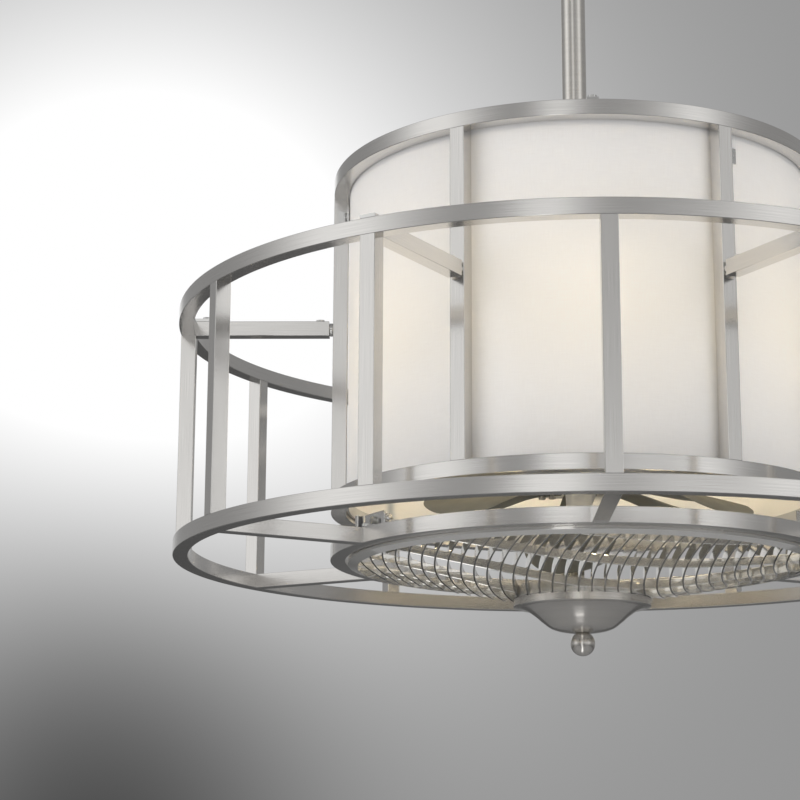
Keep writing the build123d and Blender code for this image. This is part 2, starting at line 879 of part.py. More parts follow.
def blade_screws():
    face = hub_flange_z - blade_tab_thickness
    screws = []
    for distance in blade_screw_radii:
        shank = upright_pin(blade_screw_radius, distance, face, hub_top_z)
        head = upright_pin(blade_screw_head_radius, distance, face - blade_screw_head_height, face)
        screws += around(shank + head, blade_azimuths)
    return screws


# Lamps on the motor's top


def lamp_plate():
    low = motor_top_z
    high = lamp_plate_top_z
    body = disc(lamp_disc_radius, low, high)
    half = lamp_arm_width / 2
    spoke = radial_block(0, lamp_circle_radius, lamp_arm_width, low, high)
    spoke = spoke + upright_pin(half, lamp_circle_radius, low, high)
    for piece in around(spoke, lamp_azimuths):
        body = body + piece
    centre = disc(motor_boss_radius + hole_gap, low - overrun, high + overrun)
    return cut(body, [centre] + bolt_holes(low, high))


def lampholders():
    top = lampholder_top_z
    body = upright_pin(lampholder_radius, lamp_circle_radius, lamp_plate_top_z, top)
    bore = upright_pin(lamp_base_radius + lamp_base_gap, lamp_circle_radius,
                       top - lampholder_depth, top + overrun)
    return around(body - bore, lamp_azimuths)


def bulb():
    low = lampholder_top_z - lampholder_depth
    centre = low + bulb_height - bulb_radius
    neck_z = centre - sqrt(bulb_radius ** 2 - bulb_neck_radius ** 2)
    base = disc(lamp_base_radius, low, lampholder_top_z)
    neck = turned_profile([(0, lampholder_top_z), (lamp_base_radius, lampholder_top_z),
                           (bulb_neck_radius, neck_z), (0, neck_z)])
    globe = Pos(0, 0, centre) * Sphere(bulb_radius)
    globe = globe - disc(bulb_radius, low, neck_z)
    return Pos(0, -lamp_circle_radius, 0) * (base + neck + globe)


def bulbs():
    return around(bulb(), lamp_azimuths)


# Grille: a rim with three upright tabs, a lattice of bowed fins and cross ribs, and a hub


def cone_z(radius):
    share = (radius - hub_radius) / (fin_outer_radius - hub_radius)
    return fin_end_z + share * (fin_end_drop - fin_edge_drop)


def cone_shell():
    low_in = cone_z(hub_radius)
    low_out = cone_z(fin_outer_radius)
    return turned_profile([(hub_radius, low_in), (fin_outer_radius, low_out),
                           (fin_outer_radius, low_out + fin_depth), (hub_radius, low_in + fin_depth)])


def grille_rim():
    top = cage_bottom_z - rim_inner_drop + rim_height
    ring = turned_profile([(fin_outer_radius, cage_bottom_z - rim_inner_drop),
                           (grille_rim_radius, cage_bottom_z - rim_outer_drop),
                           (grille_rim_radius, top), (fin_outer_radius, top)])
    tab_inner = grille_rim_radius - rim_tab_thickness
    tab_top = cage_bottom_z + rim_tab_rise
    band = annulus(grille_rim_radius, tab_inner, cage_bottom_z, tab_top)
    window = radial_block(fin_outer_radius, inner_ring_bore, rim_tab_width, cage_bottom_z, tab_top)
    for place in grille_bracket_azimuths:
        ring = ring + (band & turned(window, place))
    return cut(ring, grille_screw_holes())


def fin_strip(middle):
    """A fin in plan: two equal arcs, one for each half of the grille, that meet on the X axis."""
    turn = asin(fin_bow_offset / fin_bow_radius)
    reach = asin((fin_outer_radius + overrun - fin_bow_offset) / fin_bow_radius)
    half_turn = (reach - turn) / 2
    aside = fin_bow_radius * cos(turn)
    narrow = fin_bow_radius - fin_thickness / 2
    wide = fin_bow_radius + fin_thickness / 2

    def front(radius, angle):
        return (middle + aside - radius * cos(angle), -fin_bow_offset - radius * sin(angle))

    def back(radius, angle):
        return (middle - aside + radius * cos(angle), fin_bow_offset + radius * sin(angle))

    left_front = ThreePointArc(front(wide, reach), front(wide, half_turn), front(wide, -turn))
    left_back = ThreePointArc(back(narrow, -turn), back(narrow, half_turn), back(narrow, reach))
    back_end = Line(back(narrow, reach), back(wide, reach))
    right_back = ThreePointArc(back(wide, reach), back(wide, half_turn), back(wide, -turn))
    right_front = ThreePointArc(front(narrow, -turn), front(narrow, half_turn), front(narrow, reach))
    front_end = Line(front(narrow, reach), front(wide, reach))
    return make_face([left_front, left_back, back_end, right_back, right_front, front_end])


def rib_strip(distance):
    half = rib_thickness / 2
    centre = polar(distance - rib_bow_radius, rib_azimuth)
    return Pos(*centre) * (Circle(rib_bow_radius + half) - Circle(rib_bow_radius - half))


def grille_fins():
    first = fin_shift - fin_pitch * (fin_count - 1) / 2
    strips = [fin_strip(first + index * fin_pitch) for index in range(fin_count)]
    strips += [rib_strip(rib_first_distance - index * rib_spacing) for index in range(rib_count)]
    field = Circle(fin_outer_radius) - Circle(hub_radius)
    plan = Sketch() + [strip & field for strip in strips]
    height = fin_end_drop + fin_depth + overrun
    return (Pos(0, 0, fin_end_z - overrun) * extrude(plan, amount=height)) & cone_shell()


def grille_hub():
    wall = annulus(hub_radius, hub_radius - hub_wall, fin_end_z, hub_plate_top_z)
    plate = disc(hub_radius, hub_plate_top_z - hub_plate, hub_plate_top_z)
    hole = disc(finial_stud_radius + hole_gap, fin_end_z, hub_plate_top_z + overrun)
    return (wall + plate) - hole


def grille_screw_holes():
    far = grille_rim_radius + grille_bracket_sheet + overrun
    near = grille_rim_radius - rim_tab_thickness - overrun
    hole = radial_pin(grille_screw_radius + screw_gap, near, far, cage_bottom_z + grille_screw_rise)
    return around(hole, grille_bracket_azimuths)


def grille_brackets():
    low = grille_ring_top_z
    face = grille_rim_radius + grille_bracket_sheet
    reach = inner_ring_radius - grille_bracket_inset
    upright = annulus(face, grille_rim_radius, low, low + grille_bracket_height)
    foot = annulus(reach, grille_rim_radius, low, low + grille_bracket_sheet)
    window = radial_block(fin_outer_radius, reach, grille_bracket_width, low, low + grille_bracket_height)
    one = (upright + foot) & window
    foot_hole = upright_pin(screw_radius + screw_gap, inner_bar_radius, low - overrun,
                            low + grille_bracket_sheet + overrun)
    screw_hole = radial_pin(grille_screw_radius + screw_gap, fin_outer_radius, face + overrun,
                            cage_bottom_z + grille_screw_rise)
    return around(cut(one, [foot_hole, screw_hole]), grille_bracket_azimuths)


def grille_screws():
    height = cage_bottom_z + grille_screw_rise
    face = grille_rim_radius + grille_bracket_sheet
    tab_inner = grille_rim_radius - rim_tab_thickness
    head_far = sqrt(tab_inner ** 2 - screw_head_radius ** 2)
    head = radial_pin(screw_head_radius, head_far - screw_head_height, head_far, height)
    shank = radial_pin(grille_screw_radius, head_far, face + grille_nut_height, height)
    nut = radial_pin(grille_nut_radius, face, face + grille_nut_height, height)
    side = around(head + shank + nut, grille_bracket_azimuths)
    foot_face = grille_ring_top_z + grille_bracket_sheet
    foot = upright_screw(inner_bar_radius, foot_face, screw_length,
                         screw_radius, screw_head_radius, screw_head_height)
    return side + around(foot, grille_bracket_azimuths)


# Cap and ball finial


def cap_form(inset):
    """The cap's outline spun solid: an upright band, a drawn-in brim and a round bowl."""
    radius = cap_radius - inset
    band_low = fin_end_z - cap_band + inset
    brim = (radius - cap_brim_width, band_low - cap_brim_drop)
    shoulder = (cap_bowl_radius - inset, band_low - cap_bowl_shoulder_drop)
    low = (0, cap_bottom_z + inset)
    with BuildPart() as shape:
        with BuildSketch(Plane.XZ):
            with BuildLine():
                Line((0, fin_end_z), (radius, fin_end_z))
                Line((radius, fin_end_z), (radius, band_low))
                Spline((radius, band_low), brim, shoulder, low, tangents=[(-1, 0), (-1, 0)])
                Line(low, (0, fin_end_z))
            make_face()
        revolve(axis=Axis.Z)
    return shape.part


def centre_cap():
    hole = disc(finial_stud_radius + hole_gap, cap_bottom_z - overrun, fin_end_z)
    return cut(cap_form(0), [cap_form(cap_wall), hole])


def finial_stud():
    low = cap_bottom_z - finial_bore_depth
    shank = disc(finial_stud_radius, low, hub_plate_top_z)
    head = disc(finial_stud_head_radius, hub_plate_top_z, hub_plate_top_z + finial_stud_head_height)
    return shank + head


def ball_finial():
    ball = Pos(0, 0, finial_z) * Sphere(finial_radius)
    flat = disc(finial_radius, cap_bottom_z, finial_z + finial_radius + overrun)
    bore = disc(finial_stud_radius, cap_bottom_z - finial_bore_depth, cap_bottom_z + overrun)
    return cut(ball, [flat, bore])


nodes = {
    "hanger_bracket": [hanger_bracket()],
    "canopy": [canopy()],
    "canopy_screws": canopy_screws(),
    "hang_ball": [hang_ball()],
    "rod_pins": rod_pins(),
    "downrod": [downrod()],
    "rod_coupling": [rod_coupling()],
    "coupling_set_screws": coupling_set_screws(),
    "top_spider": [top_spider()],
    "spider_screws": spider_screws(),
    "flange_screws": flange_screws(),
    "outer_ring_top": [outer_ring_top()],
    "outer_ring_bottom": [outer_ring_bottom()],
    "inner_ring_top": [inner_ring_top()],
    "inner_ring_bottom": [inner_ring_bottom()],
    "grille_ring": [grille_ring()],
    "outer_posts": outer_posts(),
    "top_arms": top_arms(),
    "bottom_arms": bottom_arms(),
    "arm_spacers": arm_spacers(),
    "arm_end_plates": arm_end_plates(),
    "lug_plates": lug_plates(),
    "lug_screws": lug_screws(),
    "shade_fabric": [shade_fabric()],
    "shade_hoops": shade_hoops(),
    "shade_brackets": shade_brackets(),
    "shade_screws": shade_screws(),
    "motor_stem": [motor_stem()],
    "motor_housing_top": [motor_housing_top()],
    "motor_housing_bottom": [motor_housing_bottom()],
    "motor_stator": [motor_stator()],
    "motor_rotor": [motor_rotor()],
    "motor_shaft": [motor_shaft()],
    "motor_bearings": motor_bearings(),
    "motor_screws": motor_screws(),
    "blade_hub": [blade_hub()],
    "blade_screws": blade_screws(),
    "lamp_plate": [lamp_plate()],
    "lampholders": lampholders(),
    "bulbs": bulbs(),
    "grille_rim": [grille_rim()],
    "grille_fins": [grille_fins()],
    "grille_hub": [grille_hub()],
    "grille_brackets": grille_brackets(),
    "grille_screws": grille_screws(),
    "centre_cap": [centre_cap()],
    "finial_stud": [finial_stud()],
    "ball_finial": [ball_finial()],
}

for index, azimuth in enumerate(inner_post_azimuths, start=1):
    nodes[f"inner_post_{index}"] = [turned(inner_post(), azimuth)]

for index, azimuth in enumerate(blade_azimuths, start=1):
    nodes[f"blade_{index}"] = [turned(blade(), azimuth)]

os.makedirs("parts", exist_ok=True)
for name, shapes in nodes.items():
    solids = [solid for shape in shapes for solid in shape.solids()]
    export_step(Compound(solids), f"parts/{name}.step")
print(len(nodes), "nodes written")
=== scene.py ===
# %% [markdown]
# # A caged drum ceiling fan, dressed in Blender
# The fan hangs from a ceiling: a linen drum with lamps and a fan inside, in a cage of
# square nickel tube, over a chrome grille of bowed fins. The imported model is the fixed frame,
# and each cell dresses one piece of it or makes one finish.

# %% Load the frame
from math import asin, cos, degrees, hypot, pi, radians, sin

import bmesh
import bpy
from mathutils import Matrix, Vector


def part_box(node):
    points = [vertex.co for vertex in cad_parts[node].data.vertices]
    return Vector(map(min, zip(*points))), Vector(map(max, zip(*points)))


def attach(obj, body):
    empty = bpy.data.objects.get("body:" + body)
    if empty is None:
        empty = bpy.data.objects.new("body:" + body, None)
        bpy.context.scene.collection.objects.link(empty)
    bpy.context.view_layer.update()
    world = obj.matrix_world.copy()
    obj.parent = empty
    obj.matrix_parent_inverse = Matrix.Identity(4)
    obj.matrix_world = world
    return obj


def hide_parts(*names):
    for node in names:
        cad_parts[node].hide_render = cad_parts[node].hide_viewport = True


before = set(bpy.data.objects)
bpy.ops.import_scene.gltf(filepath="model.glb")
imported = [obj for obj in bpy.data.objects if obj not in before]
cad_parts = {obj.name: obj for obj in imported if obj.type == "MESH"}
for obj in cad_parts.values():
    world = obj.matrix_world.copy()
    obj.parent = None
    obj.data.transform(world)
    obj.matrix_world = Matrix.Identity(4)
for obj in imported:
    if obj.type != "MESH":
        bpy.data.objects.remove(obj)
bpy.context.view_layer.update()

scene = bpy.context.scene
MM = 0.001

# %% [markdown]
# ## The camera
# The photograph looks up at the fan from below its middle, a little to the left of its
# axis. Position, turn and lens were solved from the ellipses of the five rings, so the
# camera is set from those solved values. No lens shift is needed.

# %% Camera
cage_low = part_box("outer_ring_bottom")[0].z
camera_distance = 2.1511
camera_drop = 0.3090
camera_yaw = -0.0901
camera_pitch = 0.2230
camera_roll = 0.0043
lens_mm = 91.46
sensor_mm = 36.0


def camera_turn(yaw, pitch, roll):
    forward = Vector((sin(yaw) * cos(pitch), cos(yaw) * cos(pitch), sin(pitch)))
    level = Vector((cos(yaw), -sin(yaw), 0))
    above = level.cross(forward)
    right = level * cos(roll) + above * sin(roll)
    up = above * cos(roll) - level * sin(roll)
    return Matrix((right, up, -forward)).transposed()


camera_data = bpy.data.cameras.new("photo_camera")
camera = bpy.data.objects.new("photo_camera", camera_data)
scene.collection.objects.link(camera)
camera_data.lens = lens_mm
camera_data.sensor_width = sensor_mm
place = Matrix.Translation((0, -camera_distance, cage_low - camera_drop))
camera.matrix_world = place @ camera_turn(camera_yaw, camera_pitch, camera_roll).to_4x4()
scene.camera = camera
print("camera at", tuple(round(v, 3) for v in camera.location))

# %% [markdown]
# ## Sizes read from the frame
# Nothing is measured twice: ring radii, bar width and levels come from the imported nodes,
# so a change there moves the pieces here as well. Azimuths are counted from the front,
# -Y, towards +X.

# %% Sizes
outer_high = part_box("outer_ring_bottom")[1]
inner_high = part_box("inner_ring_bottom")[1]
outer_radius = outer_high.x
inner_radius = inner_high.x
bar = outer_high.z - cage_low
cage_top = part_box("outer_ring_top")[1].z
drum_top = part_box("inner_ring_top")[1].z
outer_middle = outer_radius - bar / 2
inner_middle = inner_radius - bar / 2
first_azimuth = 3.9
outer_post_count = 12
inner_post_count = 6
inner_first = first_azimuth - 360 / outer_post_count
print("rings", round(outer_radius, 4), round(inner_radius, 4), "bar", round(bar, 4))


def polar(radius, azimuth, height=0.0):
    angle = radians(azimuth)
    return Vector((radius * sin(angle), -radius * cos(angle), height))


# %% [markdown]
# ## Keeping a piece
# Each finished piece is a mesh at the origin that rides on a body of the model, gets its
# material and names the node that it stands for, which is then hidden. One helper does that for all of them.
# It also marks the edges that turn by more than 15 degrees as sharp, so that flat sides
# of a bar reflect as flats and only the curved ones are smoothed.

# %% Keep a piece
sharp_above = 15


def keep(mesh, name, body, slot, material, *nodes):
    obj = bpy.data.objects.new(name, mesh)
    scene.collection.objects.link(obj)
    mesh.materials.clear()
    mesh.materials.append(material)
    mesh.polygons.foreach_set("use_smooth", [True] * len(mesh.polygons))
    mesh.set_sharp_from_angle(angle=radians(sharp_above))
    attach(obj, body)
    if nodes:
        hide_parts(*nodes)
    print(name, len(mesh.polygons), "faces")
    return obj


# %% [markdown]
# ## Material helpers
# Every finish is a small node tree: a shader, a pattern on object coordinates or on the
# piece's own UV map, and a bump. Two helpers make a node and fill its inputs, each from a
# value or from another node's output, and the others name the patterns that come back.

# %% Node helpers
def fill(tree, node, inputs):
    for name, value in inputs.items():
        if isinstance(value, bpy.types.NodeSocket):
            tree.links.new(value, node.inputs[name])
        else:
            node.inputs[name].default_value = value


def add_node(tree, kind, inputs=None, **settings):
    node = tree.nodes.new(kind)
    for key, value in settings.items():
        setattr(node, key, value)
    fill(tree, node, inputs or {})
    return node.outputs


def new_material(name):
    material = bpy.data.materials.new(name)
    material.use_nodes = True
    return material, material.node_tree, material.node_tree.nodes["Principled BSDF"]


def maths(tree, operation, *inputs):
    return add_node(tree, "ShaderNodeMath", dict(enumerate(inputs)), operation=operation)["Value"]


def object_place(tree):
    return add_node(tree, "ShaderNodeTexCoord")["Object"]


def length_of(tree, vector):
    return add_node(tree, "ShaderNodeVectorMath", {0: vector}, operation="LENGTH")["Value"]


def parts_of(tree, vector):
    return add_node(tree, "ShaderNodeSeparateXYZ", {"Vector": vector})


def vector_of(tree, **parts):
    return add_node(tree, "ShaderNodeCombineXYZ", parts)["Vector"]


def azimuth_of(tree, parts):
    """Radians from the front, -Y, towards +X."""
    return maths(tree, "ARCTAN2", parts["X"], maths(tree, "MULTIPLY", parts["Y"], -1.0))


def noise(tree, vector, scale, detail=2.0):
    return add_node(tree, "ShaderNodeTexNoise", {"Vector": vector, "Scale": scale, "Detail": detail})["Fac"]


def streaks(tree, vector, scales):
    """Noise drawn out along the axes that have the smaller scales."""
    return noise(tree, add_node(tree, "ShaderNodeMapping", {"Vector": vector, "Scale": scales})["Vector"], 1.0)


def ramp(tree, share, *stops):
    node = tree.nodes.new("ShaderNodeValToRGB")
    for element, (position, color) in zip(node.color_ramp.elements, stops):
        element.position = position
        element.color = (*color, 1)
    fill(tree, node, {"Fac": share})
    return node.outputs["Color"]


def spread(tree, share, low, high):
    return add_node(tree, "ShaderNodeMapRange", {"Value": share, "To Min": low, "To Max": high})["Result"]


def bump(tree, height, strength, distance):
    inputs = {"Height": height, "Strength": strength, "Distance": distance}
    return add_node(tree, "ShaderNodeBump", inputs)["Normal"]


def toned(tree, share, color, tone):
    """The colour, moved towards a second tone by a share."""
    return add_node(tree, "ShaderNodeMix", {"Factor": share, "A": color, "B": tone}, data_type="RGBA")["Result"]


def bell(tree, size, *measures):
    """A soft pool as high as size. Each measure is a value, its middle and its width."""
    total = 0.0
    for value, middle, width in measures:
        term = maths(tree, "MULTIPLY_ADD", value, 1 / width, -middle / width)
        total = maths(tree, "MULTIPLY_ADD", term, term, total)
    return maths(tree, "MULTIPLY", maths(tree, "EXPONENT", maths(tree, "MULTIPLY", total, -1.0)), size)


def brushed(tree, shader, share, **direction):
    """Makes a metal whose highlights are drawn out across its brushing."""
    tangent = add_node(tree, "ShaderNodeTangent", **direction)["Tangent"]
    fill(tree, shader, {"Metallic": 1, "Anisotropic": share, "Anisotropic Rotation": 0.25, "Tangent": tangent})


# %% [markdown]
# ## Brushed nickel
# The cage is nickel plated tube, brushed along each bar and ring. Fine streaks run along
# the piece, so the pattern follows a UV map: u along the bar and v round it, both in
# metres. The streaks vary the colour a little and give a very fine bump, and broader
# clouds vary the roughness.

# %% Brushed nickel
brush_scales = (14, 2600, 1)
cloud_scales = (9, 40, 1)
brush_depth = 0.2 * MM


def brushed_nickel():
    material, tree, shader = new_material("brushed_nickel")
    uv = add_node(tree, "ShaderNodeUVMap", uv_map="along")["UV"]
    lines = streaks(tree, uv, brush_scales)
    clouds = streaks(tree, uv, cloud_scales)
    tones = (0.25, (0.66, 0.645, 0.625)), (0.75, (0.79, 0.775, 0.75))
    fill(tree, shader, {"Base Color": ramp(tree, lines, *tones), "Roughness": spread(tree, clouds, 0.15, 0.22),
                        "Normal": bump(tree, lines, 0.12, brush_depth)})
    brushed(tree, shader, 0.7, direction_type="UV_MAP", uv_map="along")
    return material


nickel = brushed_nickel()
print(nickel.name)

# %% [markdown]
# ## Spun nickel
# The centre cap, the ball, the rod and the canopy are turned or spun, so their faint
# tool lines run round the axis. Object coordinates give the height and the distance from
# the axis, and bands of noise along those make the rings.

# %% Spun nickel
spun_line_scale = 1400.0
spun_cloud_scale = 30.0


def spun_nickel():
    material, tree, shader = new_material("spun_nickel")
    place = object_place(tree)
    parts = parts_of(tree, place)
    radius = length_of(tree, vector_of(tree, X=parts["X"], Y=parts["Y"]))
    rings = noise(tree, vector_of(tree, X=radius, Z=parts["Z"]), spun_line_scale)
    clouds = noise(tree, place, spun_cloud_scale)
    tones = (0.3, (0.69, 0.668, 0.63)), (0.7, (0.80, 0.775, 0.735))
    fill(tree, shader, {"Base Color": ramp(tree, rings, *tones), "Roughness": spread(tree, clouds, 0.20, 0.26),
                        "Normal": bump(tree, rings, 0.08, brush_depth)})
    brushed(tree, shader, 0.85, direction_type="RADIAL", axis="Z")
    return material


spun = spun_nickel()
print(spun.name)

# %% [markdown]
# ## Simple metals, plastics and enamel
# Screws, motor parts, blades, holders, the moulded grille and enamelled sheet need a
# colour with a slight mottle, a roughness that varies and a small bump. One recipe with
# its own numbers for each finish is enough, because they show only in small patches. The
# chrome carries painted shade: the undersides of the grille's fins are darkened in its
# colour, standing for the dark floor that they mirror, by a share that their mesh carries.

# %% Plain finishes
grain_depth = 0.1 * MM
mottle_size = 12


def plain_finish(name, dark, light, metallic, rough, grain, specular=0.5):
    material, tree, shader = new_material(name)
    place = object_place(tree)
    fine = noise(tree, place, grain, 4.0)
    broad = noise(tree, place, grain / mottle_size)
    fill(tree, shader, {"Base Color": ramp(tree, broad, (0.3, dark), (0.7, light)), "Metallic": metallic,
                        "Roughness": spread(tree, fine, rough * 0.85, rough * 1.2),
                        "Normal": bump(tree, fine, 0.15, grain_depth), "Specular IOR Level": specular})
    return material


def paint_shade_by(material, attribute, tone):
    """Paints shade into a finish: its colour is toned down by a share that the mesh carries."""
    tree = material.node_tree
    shader = tree.nodes["Principled BSDF"]
    color = shader.inputs["Base Color"].links[0].from_socket
    share = add_node(tree, "ShaderNodeAttribute", attribute_name=attribute)["Fac"]
    fill(tree, shader, {"Base Color": toned(tree, share, color, tone)})


chrome = plain_finish("chrome_plate", (0.86, 0.85, 0.82), (0.93, 0.92, 0.89), 0.78, 0.07, 260)
# Painted shade: the chrome's colour is darkened where the fins face down.
paint_shade_by(chrome, "painted_underside_shade", (0.09, 0.088, 0.08, 1))
bright = plain_finish("bright_plate", (0.66, 0.655, 0.64), (0.74, 0.735, 0.72), 1, 0.16, 300)
zinc = plain_finish("zinc_screw", (0.55, 0.55, 0.54), (0.70, 0.70, 0.68), 1, 0.28, 500)
zinc_sheet = plain_finish("zinc_sheet", (0.50, 0.51, 0.53), (0.62, 0.63, 0.65), 1, 0.38, 180)
iron = plain_finish("motor_iron", (0.16, 0.16, 0.17), (0.24, 0.24, 0.25), 0.8, 0.45, 350)
ground = plain_finish("ground_steel", (0.52, 0.52, 0.53), (0.62, 0.62, 0.63), 1, 0.22, 600)
enamel = plain_finish("white_enamel", (0.74, 0.74, 0.72), (0.80, 0.80, 0.78), 0, 0.35, 400)
blade_grey = plain_finish("blade_grey", (0.17, 0.165, 0.14), (0.21, 0.205, 0.175), 0, 0.85, 420, specular=0.15)
hub_satin = plain_finish("hub_satin", (0.86, 0.84, 0.78), (0.92, 0.90, 0.85), 0.1, 0.4, 420)
holder_white = plain_finish("holder_plastic", (0.78, 0.77, 0.73), (0.84, 0.83, 0.79), 0, 0.3, 300)
print("plain finishes made")

# %% [markdown]
# ## Linen shade
# The shade is off-white linen on a translucent liner. Warp and weft are two fields of
# stretched noise that cross on the cloth's own UV map, and a grey tape shows through along
# the seam. Light from the lamps passes through, so a translucent shader is mixed with the
# cloth's surface. On top of that the cloth emits a painted glow: a faint warm band at the
# lamps' height, a little brighter in front of each lamp.

# %% Linen
thread_pitch = 0.9 * MM
slub_scale = 60
seam_azimuth = -119.7
seam_tape = 15.0 * MM
seam_along = radians(seam_azimuth % 360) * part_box("shade_fabric")[1].x
tape_cover = 0.9
tape_tone = (0.40, 0.45, 0.52, 1)
linen_tones = (0.3, (0.895, 0.885, 0.88)), (0.7, (0.945, 0.94, 0.935))
liner_share = 0.24
painted_glow_height = -0.545
painted_glow_width = 0.105
lamp_count = 6
painted_glow_tone = (1.0, 0.80, 0.42, 1)
painted_glow_strength = 0.095
painted_glow_ripple = 0.28


def painted_lamp_glow(tree):
    """The strength of the painted lamp glow that the cloth emits, by height and by azimuth."""
    parts = parts_of(tree, object_place(tree))
    turn = maths(tree, "MULTIPLY_ADD", azimuth_of(tree, parts), lamp_count, -radians(lamp_count * first_azimuth))
    ripple = maths(tree, "MULTIPLY_ADD", maths(tree, "COSINE", turn), painted_glow_ripple, 1.0)
    return maths(tree, "MULTIPLY", bell(tree, painted_glow_strength, (parts["Z"], painted_glow_height, painted_glow_width)), ripple)


def linen():
    material, tree, shader = new_material("shade_linen")
    cloth = add_node(tree, "ShaderNodeUVMap", uv_map="cloth")["UV"]
    weft = streaks(tree, cloth, (slub_scale, 1 / thread_pitch, 1))
    warp = streaks(tree, cloth, (1 / thread_pitch, slub_scale, 1))
    weave = maths(tree, "MULTIPLY", maths(tree, "ADD", weft, warp), 0.5)
    tape = bell(tree, tape_cover, (parts_of(tree, cloth)["X"], seam_along, seam_tape / 2))
    color = toned(tree, tape, ramp(tree, weave, *linen_tones), tape_tone)
    normal = bump(tree, weave, 0.25, 0.3 * MM)
    # Painted glow: the cloth emits a warm band at the lamps' height, a little brighter in front of each lamp.
    fill(tree, shader, {"Base Color": color, "Normal": normal, "Roughness": 0.9, "Sheen Weight": 0.15,
                        "Emission Color": painted_glow_tone, "Emission Strength": painted_lamp_glow(tree)})
    liner = add_node(tree, "ShaderNodeBsdfTranslucent", {"Color": color, "Normal": normal})["BSDF"]
    mix = add_node(tree, "ShaderNodeMixShader", {"Fac": liner_share, 1: shader.outputs["BSDF"], 2: liner})
    fill(tree, tree.nodes["Material Output"], {"Surface": mix["Shader"]})
    return material


linen_cloth = linen()
print(linen_cloth.name)

# %% [markdown]
# ## Frosted bulbs
# The lamps are lit. A frosted bulb glows evenly, so its shader gives a warm emission over
# the globe and a dimmer one at the neck below it, by object height.

# %% Bulb glass
lamp_strength = 14.5
dim_below, bright_above = 26.0 * MM, 45.0 * MM
dim_tone, lamp_tone = (0.30, 0.28, 0.25), (1.0, 0.83, 0.54)


def bulb_glass():
    material, tree, shader = new_material("bulb_glass")
    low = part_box("bulbs")[0].z
    height = parts_of(tree, object_place(tree))["Z"]
    share = add_node(tree, "ShaderNodeMapRange",
                     {"Value": height, "From Min": low + dim_below, "From Max": low + bright_above})["Result"]
    warm = ramp(tree, share, (0.0, dim_tone), (1.0, lamp_tone))
    fill(tree, shader, {"Base Color": warm, "Emission Color": warm, "Emission Strength": lamp_strength,
                        "Roughness": 0.45})
    return material


bulb_white = bulb_glass()
print(bulb_white.name)

# %% [markdown]
# ## Bars and rings of square tube
# Real square tube has small rounded corners, and their thin highlights draw the cage's
# outline. A rounded square is swept round the axis for a ring or along a line for a bar.
# The UV map is laid at the same time, in metres, so the brushing follows every bar.

# %% Square tube
corner_round = 0.5 * MM
corner_steps = 2


def tube_outline(width, height):
    points = []
    for quarter, (side_x, side_y) in enumerate([(1, 1), (-1, 1), (-1, -1), (1, -1)]):
        centre = (side_x * (width / 2 - corner_round), side_y * (height / 2 - corner_round))
        for step in range(corner_steps + 1):
            angle = (quarter + step / corner_steps) * pi / 2
            points.append((centre[0] + corner_round * cos(angle), centre[1] + corner_round * sin(angle)))
    return points


def outline_lengths(points):
    lengths = [0.0]
    for here, ahead in zip(points, points[1:] + points[:1]):
        lengths.append(lengths[-1] + hypot(ahead[0] - here[0], ahead[1] - here[1]))
    return lengths


def mesh_of(builder, name):
    """The built mesh, with all its faces turned outwards."""
    bmesh.ops.recalc_face_normals(builder, faces=builder.faces)
    mesh = bpy.data.meshes.new(name)
    builder.to_mesh(mesh)
    builder.free()
    return mesh


def joined_mesh(name, *meshes):
    whole = bmesh.new()
    for mesh in meshes:
        whole.from_mesh(mesh)
    return mesh_of(whole, name)


def swept_mesh(name, sections, lengths_along, around_lengths, closed=False, uv_name="along"):
    """Joins rows of points into a tube with UVs along and round it. An open one gets end caps."""
    tube = bmesh.new()
    uv = tube.loops.layers.uv.new(uv_name)
    rows = [[tube.verts.new(point) for point in section] for section in sections]
    count = len(rows[0])
    spans = len(rows) if closed else len(rows) - 1
    for row in range(spans):
        ahead = (row + 1) % len(rows)
        for side in range(count):
            beside = (side + 1) % count
            face = tube.faces.new((rows[row][side], rows[row][beside], rows[ahead][beside], rows[ahead][side]))
            corners = ((row, side), (row, side + 1), (row + 1, side + 1), (row + 1, side))
            for loop, (along, across) in zip(face.loops, corners):
                loop[uv].uv = (lengths_along[along], around_lengths[across])
    if not closed:
        tube.faces.new(list(reversed(rows[0])))
        tube.faces.new(rows[-1])
    return mesh_of(tube, name)


def ring_mesh(name, middle_radius, middle_height, steps=240):
    outline = tube_outline(bar, bar)
    sections = []
    for step in range(steps):
        azimuth = 360 * step / steps
        sections.append([polar(middle_radius + x, azimuth, middle_height + z) for x, z in outline])
    lengths_along = [2 * pi * middle_radius * step / steps for step in range(steps + 1)]
    return swept_mesh(name, sections, lengths_along, outline_lengths(outline), closed=True)


def bar_mesh(name, start, end, side, width, height):
    """A straight bar from start to end; side is the unit direction of its width."""
    outline = tube_outline(width, height)
    upward = (end - start).normalized().cross(side)
    sections = [[point + side * x + upward * y for x, y in outline] for point in (start, end)]
    return swept_mesh(name, sections, [0.0, (end - start).length], outline_lengths(outline))


# %% [markdown]
# ## The five rings
# Two outer rings, two rings of the drum and the ring round the grille are all the same
# bar, rolled to a circle.

# %% Rings
for node in ("outer_ring_top", "outer_ring_bottom", "inner_ring_top", "inner_ring_bottom", "grille_ring"):
    low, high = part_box(node)
    mesh = ring_mesh(node + "_bar", high.x - bar / 2, (low.z + high.z) / 2)
    keep(mesh, node + "_bar", "fixture", "brushed_nickel", nickel, node)

# %% [markdown]
# ## Copies round the axis
# Posts, arms and other pieces repeat round the axis, so one Geometry Nodes tree does
# them all: it puts a number of points at the centre, instances one piece on them, turned
# by an equal step, then realises the copies and sets their material.

